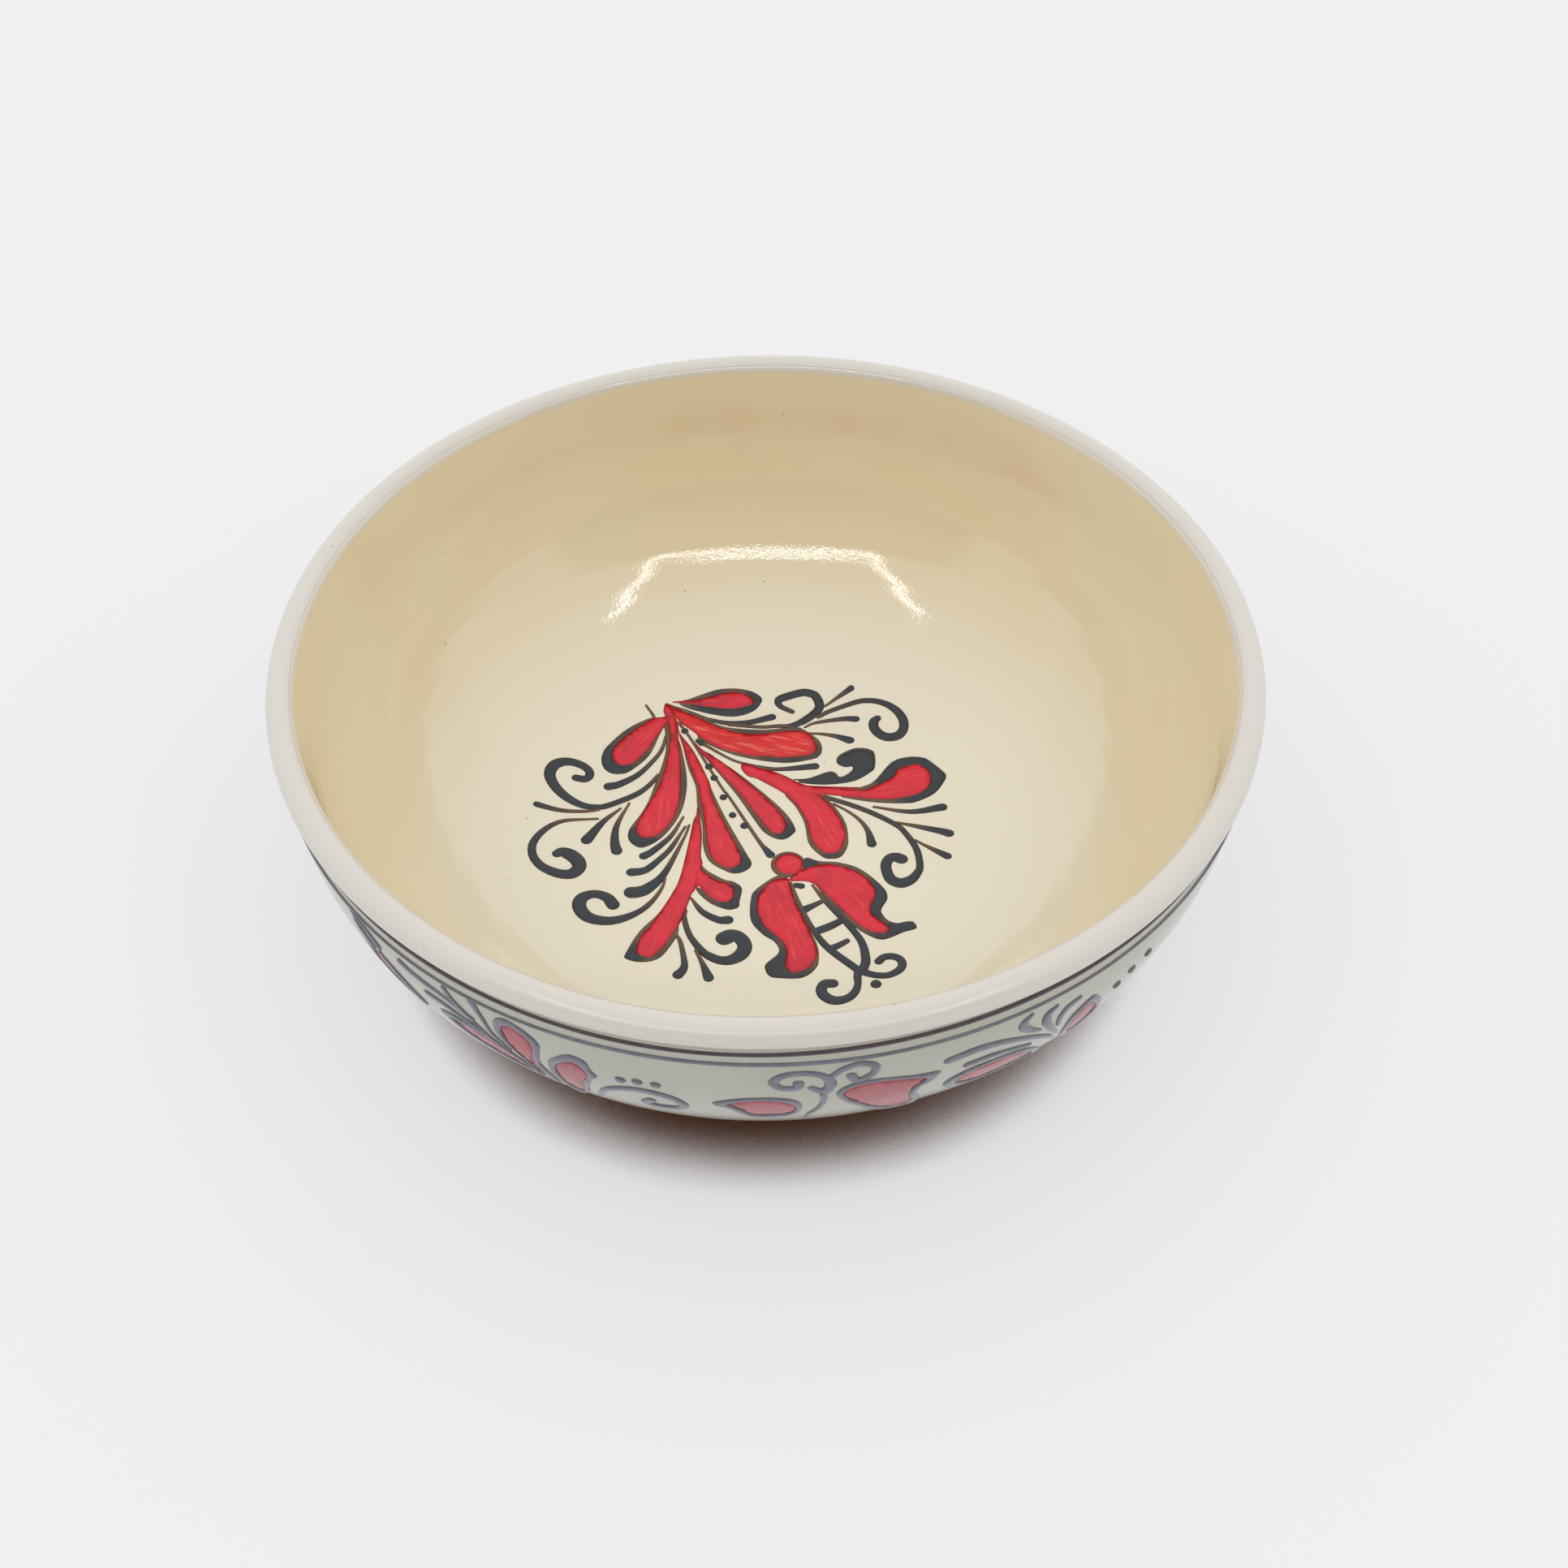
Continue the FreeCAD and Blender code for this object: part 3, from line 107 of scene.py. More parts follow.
neck_roll_angle = math.atan2(neck_centre[1] - roll_centre[1], neck_centre[0] - roll_centre[0])

# ---- the ornament's outlines, in millimetres: the same as the CAD model's ----
inner_leaves = {
    "upper_left_leaf": (
        [(-32.2, 50.8), (-35.5, 49.8), (-40.8, 45.8), (-45.7, 39.7), (-47.1, 36.6), (-47.3, 33.5),
         (-46.4, 30.9), (-44.4, 29.2), (-41.9, 28.9), (-39.1, 30), (-33.9, 36), (-31.1, 43.9),
         (-30, 47.8)],
        [(-28.6, 52.3), (-30.1, 51.3), (-33.9, 50), (-41.6, 42.6), (-44.5, 37.5), (-43.6, 33.4),
         (-41.7, 32.2), (-39.6, 32.3), (-37.5, 33.6), (-33.7, 38.9), (-32.4, 42), (-28.6, 49.8)]),
    "left_leaf": (
        [(-29.9, 49.2), (-29.4, 45.2), (-29.3, 36.4), (-33, 20.5), (-34.2, 16.6), (-35.7, 13.2),
         (-38.7, 7.2), (-38.3, 3), (-34.7, 0.7), (-29.2, 4.8), (-24.5, 13.5), (-22.8, 24.1),
         (-23.8, 34.9), (-25.9, 43.8)],
        [(-29.3, 56.2), (-30, 54.3), (-29.8, 52.5), (-29.1, 50.6), (-28.1, 42.9), (-29.2, 31.8),
         (-31.7, 21.9), (-35.4, 13), (-36.8, 9.1), (-36.8, 7), (-35.9, 5.1), (-34.1, 4.1), (-31.7, 4.6),
         (-29.5, 6.3), (-25.7, 12.9), (-24.4, 23.2), (-24.8, 36.4), (-26.5, 51.1), (-27.7, 54.7)]),
    "middle_leaf": (
        [(-24.5, 42.9), (-22.7, 39.6), (-18.8, 31.3), (-12.5, 13.5), (-6.2, -1.5), (-4.8, -4.7),
         (-4.9, -6.7), (-6.4, -8.3), (-8.7, -9.2), (-11.4, -8.5), (-16.1, -4.8), (-18, 0.8), (-18.4, 9),
         (-19.8, 16.4), (-20.4, 24), (-22.7, 31.8)],
        [(-27.7, 52.8), (-25.8, 49.7), (-25.4, 46.2), (-24.4, 43.8), (-20.8, 37.3), (-16.4, 25.3),
         (-15.7, 20.6), (-12.8, 11.8), (-8.1, -0.6), (-7.7, -5.5), (-10.6, -7.4), (-14.5, -5.2),
         (-16.7, -0.4), (-18.1, 12.3), (-19.3, 20.2), (-19.7, 24.4), (-21, 27.7), (-25.9, 46.2)]),
    "slim_leaf": (
        [(-17.1, 37.2), (-14.5, 34.9), (-5.2, 25.7), (4.1, 14.5), (7.5, 7.5), (6.6, 4.9), (4.3, 3.2),
         (1.7, 3.7), (-1.2, 6.1), (-3.4, 9.9), (-9.2, 21.2), (-17.1, 34.2), (-18.5, 36.8)],
        [(-20.8, 41.4), (-18.5, 38.4), (-13.1, 33.7), (-7.5, 27.6), (1.2, 17), (5.2, 9.7), (4, 5.6),
         (2.4, 5.1), (0.7, 6), (-1.1, 8.5), (-8.5, 21.6), (-13.8, 29.4), (-19.8, 38.7)]),
    "top_leaf": (
        [(-25.5, 56.6), (-22.7, 58.1), (-15.2, 61.5), (-10.1, 62.3), (-6, 61.8), (-2.8, 60.4),
         (-1.2, 57.8), (-4.2, 53.4), (-10.8, 51.6), (-22, 54.4)],
        [(-27.5, 56.9), (-20.6, 58.1), (-12.2, 60.7), (-8.4, 61), (-5.5, 59.9), (-3.5, 57.6),
         (-4.9, 55.7), (-11.2, 54.5), (-23.7, 56.2)]),
    "upper_right_leaf": (
        [(-19.9, 51.7), (-17.2, 50.4), (-11.8, 47.4), (-1.8, 46.1), (5, 46.7), (8.3, 47), (10.3, 46.3),
         (14.3, 42.5), (15.6, 40.1), (15.8, 37.5), (15.1, 35.5), (12.7, 33.9), (4.2, 32.8), (-8.5, 35.8),
         (-17.8, 41.1), (-19.9, 43.2)],
        [(-28.7, 55.7), (-26.4, 54.5), (-24, 53.6), (-18.6, 50.7), (-15.2, 48.3), (-8.5, 45.3),
         (-1.8, 44.6), (7.5, 45.7), (11.9, 44.4), (14.2, 40.3), (14.4, 38), (13.5, 36.2), (11.2, 35.2),
         (4.2, 34.5), (0.3, 35.1), (-3.5, 35.4), (-7.5, 36.4), (-13.8, 39), (-18.9, 42.9), (-21.2, 45.6),
         (-25.5, 49.9)]),
    "right_leaf": (
        [(20.7, 19.2), (22.7, 21.6), (26.2, 22.6), (30.1, 24.8), (35.5, 32.1), (40.2, 34), (44.2, 33.6),
         (46.3, 32.2), (49.8, 27.9), (50.7, 26), (50, 23.8), (47, 19.4), (41.9, 16.4), (38.1, 15.9),
         (30.5, 16.5), (23, 18.2)],
        [(14.3, 21.3), (19.3, 22.1), (26.9, 21.6), (29.2, 22.5), (35.1, 25.9), (37.3, 29.4),
         (41.6, 31.1), (43.8, 30.6), (46.3, 27.3), (45.6, 22), (41.6, 18.8), (34.7, 17.4), (26.8, 18),
         (19.2, 19.5), (15.4, 20.1)]),
    "lower_right_leaf": (
        [(4.8, 21), (7.9, 15.2), (10.1, 9), (11.2, 1.3), (14.8, -3.6), (17.3, -4.4), (19.7, -3.8),
         (21.3, -1.3), (22.1, 2.2), (21.6, 8.9), (18.7, 15.5), (15.4, 19.6), (10.9, 21.2)],
        [(4.6, 21.6), (6.6, 18.2), (8.2, 15.8), (10.5, 10.1), (12, 2.3), (15.2, -2.2), (19.3, -2),
         (21.4, 3.3), (20.8, 8.9), (18.1, 15.1), (15.1, 19.4), (12.8, 21.4), (8.6, 22.5)]),
    "bottom_leaf": (
        [(-26.8, -19.7), (-28.4, -21.4), (-30.4, -24.3), (-34.9, -30.1), (-38.3, -37.8), (-38, -39.4),
         (-35.6, -40.4), (-32.6, -40.5), (-30, -39.7), (-27.8, -37.5), (-24.7, -31.5), (-24.3, -27.3),
         (-25.1, -22.8)],
        [(-19.8, 16.4), (-20.1, 12.9), (-20.9, 10.6), (-21.7, 4.9), (-24.1, -9.6), (-26.4, -16.5),
         (-31.3, -26.6), (-34.5, -31.7), (-35.6, -36.5), (-34.7, -38.2), (-33, -39), (-31, -38.9),
         (-27.7, -34.7), (-23.8, -26.6), (-21, -16.7), (-20.2, -15.2), (-18.2, -6), (-18.6, -2.4),
         (-18.4, 5.7), (-19.1, 12.7)]),
    "side_leaf": (
        [(-18.8, -4.8), (-17.9, -6.5), (-16.3, -8.4), (-12, -11.4), (-9.6, -12.2), (-7.4, -14.6),
         (-8, -19.3), (-8.2, -21.2), (-9.3, -22.1), (-11.7, -22.2), (-16.3, -19.6), (-19.9, -14.7),
         (-19.8, -9.6)],
        [(-19.3, -7), (-17.9, -8.1), (-14.8, -11.1), (-11.1, -12.8), (-9.8, -14.1), (-9.3, -16),
         (-9.6, -17.9), (-10.5, -19.2), (-11.9, -19.9), (-13.7, -19.6), (-15.7, -18.3), (-17.7, -16.1),
         (-19, -13.8), (-20, -14), (-20.4, -10.4)]),
    "tulip_left_petal": (
        [(5, -11.1), (3.4, -10.2), (1.2, -10.8), (-3.6, -15.1), (-5, -18.5), (-5.1, -26), (-2.2, -31),
         (1.3, -34.2), (2.2, -37.7), (-1.2, -41.6), (-1.3, -43.9), (-0.5, -45.7), (1.1, -46.5),
         (6.5, -46.9), (9.2, -46.2), (11.4, -44.2), (12.7, -41.3), (12.5, -35.4), (9.4, -26.3)],
        [(5.1, -11.3), (3.9, -11), (0.4, -12.3), (-2.7, -16.8), (-3.5, -22.7), (-1.5, -28.7),
         (2.4, -33.1), (4.2, -37.6), (3.8, -42.3), (5.9, -45.1), (9.9, -43.7), (11.5, -41.4),
         (12.3, -36.2), (7.3, -20.4), (5.7, -13.4)]),
    "tulip_right_petal": (
        [(8.9, -6), (9.5, -4.4), (10.8, -3.7), (13.8, -5.1), (19.3, -5.8), (25, -8.4), (30.7, -14.9),
         (31.9, -19.1), (30.2, -22.8), (30.1, -24.4), (31.1, -26.5), (32.6, -27.8), (35, -28.4),
         (38.1, -27.8), (39.1, -30.3), (35.8, -31.5), (30.1, -34), (25.9, -32.2), (21.8, -28.4),
         (19.6, -25.5), (17.2, -22.8)],
        [(5.3, -12.1), (8.2, -8.8), (12.2, -6.8), (17.1, -6.3), (24, -9.2), (27.4, -13), (29, -17.3),
         (27.6, -21.5), (27.2, -23.5), (27.7, -25.2), (30.9, -28.4), (31.8, -29.9), (31.4, -31.3),
         (29.9, -32.1), (25.9, -30.7), (22.1, -26.9), (13.7, -15.5), (11.9, -13.4), (9.7, -12.5)]),
}

tulip_knob = (5.5, -6.1, 4.0)
tulip_knob_ring = (5.3, -6.2, 4.8)

# the red branch that carries the two right-hand leaves
inner_branch = [(-7.5, 31), (-6.6, 32.9), (-3.6, 31.6), (3.7, 28.4), (9.5, 24.5), (12.8, 23.5),
                (23.1, 22.7), (26, 22.4), (20.8, 20.4), (11.6, 19.5), (5.5, 20.4), (2.9, 22.2),
                (-2.8, 26.5), (-5.6, 27.8)]

# the broad dark curl above that branch
inner_curl = [(7.6, 26.2), (11.4, 26.4), (17.4, 28.9), (19.4, 28.3), (20.3, 26.9), (21.6, 27),
              (23.6, 28.6), (24.4, 30), (24, 30.8), (22.1, 30.6), (19.9, 32.3), (20.6, 35.2),
              (24.5, 37.7), (27.2, 38), (29.5, 37.3), (30.8, 35.6), (30.7, 30.6), (29.4, 28.4),
              (24.4, 25), (17.1, 23.9), (10.6, 24.5), (7.8, 25.4)]

# strokes as (x, y, width) along the middle
inner_strokes = {
    "stem_line": [
        [(-25.3, 49.1, 1), (-21.4, 41.7, 0.9), (-13.1, 23.7, 0.9), (-10.8, 19.6, 0.9), (-2.8, 3.1, 1.2),
         (-0.9, -0.2, 1.8), (0.5, -2.4, 2.6)]],
    "hub_ticks": [
        [(-35, 55, 0.6), (-33, 51.9, 1), (-32.6, 50.5, 0.9)],
        [(-29.2, 55.9, 0.8), (-27.7, 55.4, 0.7), (-23, 53.4, 1.4), (-17.2, 50.7, 1.2)]],
    "left_scrolls": [
        [(-31.1, 28.4, 1.2), (-32.1, 26.5, 1.5), (-34.5, 23.3, 1.7), (-37.9, 20.4, 2),
         (-45.1, 16.6, 2.1), (-48.6, 16.1, 2.1), (-52.1, 16.8, 2.4), (-55.9, 19, 2.8), (-59.1, 22, 3.1),
         (-61.1, 25.3, 3.3), (-61.5, 28, 3.3), (-60.3, 30.7, 3.2), (-58, 32.2, 3), (-55.4, 32.5, 2.8),
         (-52.8, 31.7, 2.7), (-50.9, 30.2, 2.6), (-50.4, 28.3, 2.6), (-51.6, 26.7, 2.6),
         (-54.2, 26.9, 2.5)],
        [(-47.5, 11.6, 0.6), (-54.3, 11.1, 1.1), (-57.7, 10.2, 1.4), (-60.7, 8.1, 1.7), (-63.2, 4.9, 2),
         (-64.7, 1.5, 2.2), (-64.9, -1.6, 2.4), (-64, -4.5, 2.7), (-61.9, -7, 3), (-58.9, -8.6, 3.3),
         (-55.9, -9.3, 3.5), (-53.3, -8.7, 3.8), (-51.8, -6.3, 4), (-52.6, -3.8, 4.2),
         (-54.7, -1.8, 4.2), (-56.8, -1.1, 3.6), (-58.1, -1.8, 2.8)]],
    "left_twigs": [
        [(-29.2, 43.9, 0.8), (-29.9, 39.7, 1.2), (-31.7, 35.5, 1.4), (-36.6, 28.8, 1.9),
         (-41.9, 25, 2.6), (-44.9, 24.1, 3)],
        [(-64.5, 15.6, 2.1), (-57.6, 14.4, 1.5), (-49.9, 14.5, 1), (-47.2, 15.1, 0.6)],
        [(-41.3, 15.5, 0.7), (-46.1, 10.3, 1.9), (-50.2, 3.7, 3.4)],
        [(-38.9, 17.5, 0.6), (-41.7, 10.5, 1.5), (-42.5, 6.3, 2.1), (-42.4, 2.3, 2.7),
         (-41.8, -0.4, 3.2)]],
    "upper_scrolls": [
        [(-10.8, 48.3, 1.2), (-1.8, 47.2, 1.3), (3.3, 47.5, 1.4), (6.4, 47.5, 1.6), (10.3, 49.1, 2.6),
         (15.3, 54.1, 2.8), (14.7, 58.5, 2.8), (12.8, 60, 2.8), (10.2, 60.3, 2.8), (4.8, 58.6, 2.8),
         (3.5, 57.5, 2.4), (4.1, 55.5, 1.9), (7.5, 53.2, 1.7)],
        [(15.1, 50.9, 1.4), (18.7, 53.1, 1.6), (26.3, 55.9, 1.8), (30.6, 56, 1.9), (34.1, 54.8, 2),
         (36.8, 52.8, 2.3), (38.7, 50.3, 2.6), (39.7, 47.4, 2.8), (39.4, 44.4, 2.9), (37.7, 42.4, 3.2),
         (35.1, 42, 3.3), (32.9, 43.1, 3.2), (31.2, 45.6, 3), (31.1, 48.2, 2.9), (32.1, 49.3, 2.4)]],
    "upper_twigs": [
        [(17.2, 55, 0.7), (20.8, 57.9, 1.3), (24.9, 60.9, 2.1)],
        [(11.1, 46.8, 0.7), (14.2, 48.5, 1.1), (22.1, 49.8, 1.8), (25.9, 49.6, 2.4)],
        [(12.2, 44.3, 0.7), (16.1, 43.9, 1.1), (20, 42.9, 1.7), (23.8, 41.3, 2.9)],
        [(-19.8, 41.9, 1.8), (-17.2, 39.8, 1.1), (-9.2, 33.8, 0.9), (-0.3, 30.7, 1.4), (4.7, 30.3, 1.6),
         (13.6, 31.2, 2.6)],
        [(-17.2, 50.7, 1.2), (-11.5, 49, 1.8), (-5.1, 49.2, 2), (1.5, 51.2, 2.7)]],
    "right_scroll": [
        [(16.2, 19, 1.6), (22.9, 16, 1.7), (29.6, 12.2, 1.8), (35.4, 7.9, 1.8), (37.7, 5.1, 1.8),
         (40.6, -1.2, 2), (41.3, -7.6, 2.1), (40.3, -10.6, 2.5), (38.4, -12.9, 3.2), (35.8, -13.9, 3.7),
         (33.3, -12.6, 3.4), (32.2, -9.7, 3.1), (32.1, -6.7, 3.1), (33.3, -4.6, 3.1), (35, -4.4, 3.6),
         (36.4, -5.1, 3.6)]],
    "right_twigs": [
        [(29.7, 14.8, 0.7), (39.8, 12.6, 1.7), (48.8, 14, 2.9)],
        [(35.6, 8.7, 0.7), (46.9, 5.2, 2.3), (50, 4, 2.9)],
        [(40.6, 1.7, 0.7), (43.5, -0.6, 1.1), (49, -4.5, 2.5)],
        [(18.5, 16.3, 0.6), (22.4, 13.3, 0.9), (25.7, 9.7, 1.2), (27.7, 5.6, 1.7), (28.5, 0.9, 2.8)]],
    "lower_twigs": [
        [(-23.7, 12.1, 0.7), (-27, 5, 1.5), (-31.8, -0.5, 2.2), (-34.3, -2.4, 2.7)],
        [(-23.1, 8.4, 0.6), (-26.3, 1.7, 1.5), (-28.3, -1.6, 1.7), (-32.7, -6.8, 2.3), (-35, -8.1, 2.7),
         (-37.5, -8.4, 3)],
        [(-22, 9, 0.6), (-23.4, 4.1, 0.9), (-28.5, -8.8, 2.1), (-32.8, -14.2, 3.6), (-35.4, -15.6, 4.1),
         (-37.3, -15.8, 4.2)],
        [(-21.1, -18.1, 0.8), (-18, -23, 1.9), (-13.7, -25.9, 2.5), (-11.2, -26, 3.1)],
        [(-24.7, -31.3, 1), (-23.7, -33.9, 1.3), (-22.6, -40.5, 1.8), (-22.9, -43.1, 2.4),
         (-24.2, -45, 3)],
        [(-19.7, -36.6, 0.9), (-17.9, -41, 1.5), (-16.2, -46.1, 2.9)]],
    "lower_scrolls": [
        [(-28.3, -10.8, 0.7), (-28.9, -13.7, 1), (-30.6, -17.4, 1.3), (-32.8, -20.6, 1.7),
         (-35.4, -23, 2), (-38.7, -24.9, 2.6), (-42, -25.9, 3), (-45, -25.9, 3.3), (-48.1, -25, 3.7),
         (-50.1, -23.2, 3.9), (-51.2, -20.5, 3.9), (-50.6, -17.9, 3.7), (-48.4, -16.5, 3.1),
         (-46, -16.5, 3), (-43.6, -17.8, 3.3), (-42.1, -20.2, 3.7)],
        [(-22.7, -22.4, 1.4), (-22.9, -25.1, 1.6), (-21.3, -31.3, 1.8), (-18.1, -36.7, 2.3),
         (-15.7, -38.9, 2.7), (-12.9, -40.2, 3), (-10.2, -40, 3.5), (-7.8, -38.3, 4), (-6.7, -35.9, 4),
         (-7.2, -33.6, 4), (-8.7, -31.9, 4.2), (-10.5, -31.7, 4.8), (-12.1, -32.5, 4.8)]],
    "tulip_ladder": [
        [(5.9, -13, 0.9), (8.2, -21.3, 1.4), (11.4, -29.6, 1.7), (15.3, -36.4, 2.2), (22.6, -44, 2.4)],
        [(11.8, -14, 0.8), (15.5, -20.4, 1.6), (21.5, -29.3, 2), (24.4, -35.1, 2.2), (25.1, -41, 2.6),
         (24.3, -44, 2.6)],
        [(9, -22.9, 2.8), (11.7, -21.4, 1.9), (14.7, -19.6, 1.3)],
        [(13, -30.3, 2.6), (15.8, -29, 2.6), (18.9, -27.1, 2.2)],
        [(16.2, -36.7, 2.3), (18.4, -35.5, 2), (20.4, -34.2, 1.7)],
        [(7.4, -13.9, 1.9), (8.7, -14.2, 2.1)]],
    "tulip_curls": [
        [(23.2, -44.6, 2.6), (22.7, -46.6, 2.2), (22.7, -49.2, 2), (21.7, -52.2, 2.4),
         (19.5, -54.3, 2.8), (16.5, -54.8, 3.2), (14.1, -53.3, 3.2), (13.1, -51, 3), (14.1, -48.9, 3),
         (16.2, -48.8, 3)],
        [(24.1, -45, 2.4), (27.4, -46.3, 2.2), (30.7, -46.5, 2.2), (33.4, -45.1, 2.4),
         (34.6, -43.1, 2.4), (34, -40.9, 2.4), (31.9, -39.9, 2.3), (29.8, -40.2, 2.3),
         (28.5, -41.5, 2.4)]],
}

# dots as (x, y, radius)
inner_dots = {
    "stem_beads": [(-23.7, 45.9, 1.1), (-18.8, 41, 1.1), (-16.6, 31.6, 1.2), (-15.1, 27.2, 1.1),
                   (-12.5, 19.6, 1.1), (-9.9, 12.7, 1.1), (-6.6, 8.6, 1.2)],
    "tulip_dot": [(27.4, -49.5, 1.5)],
}

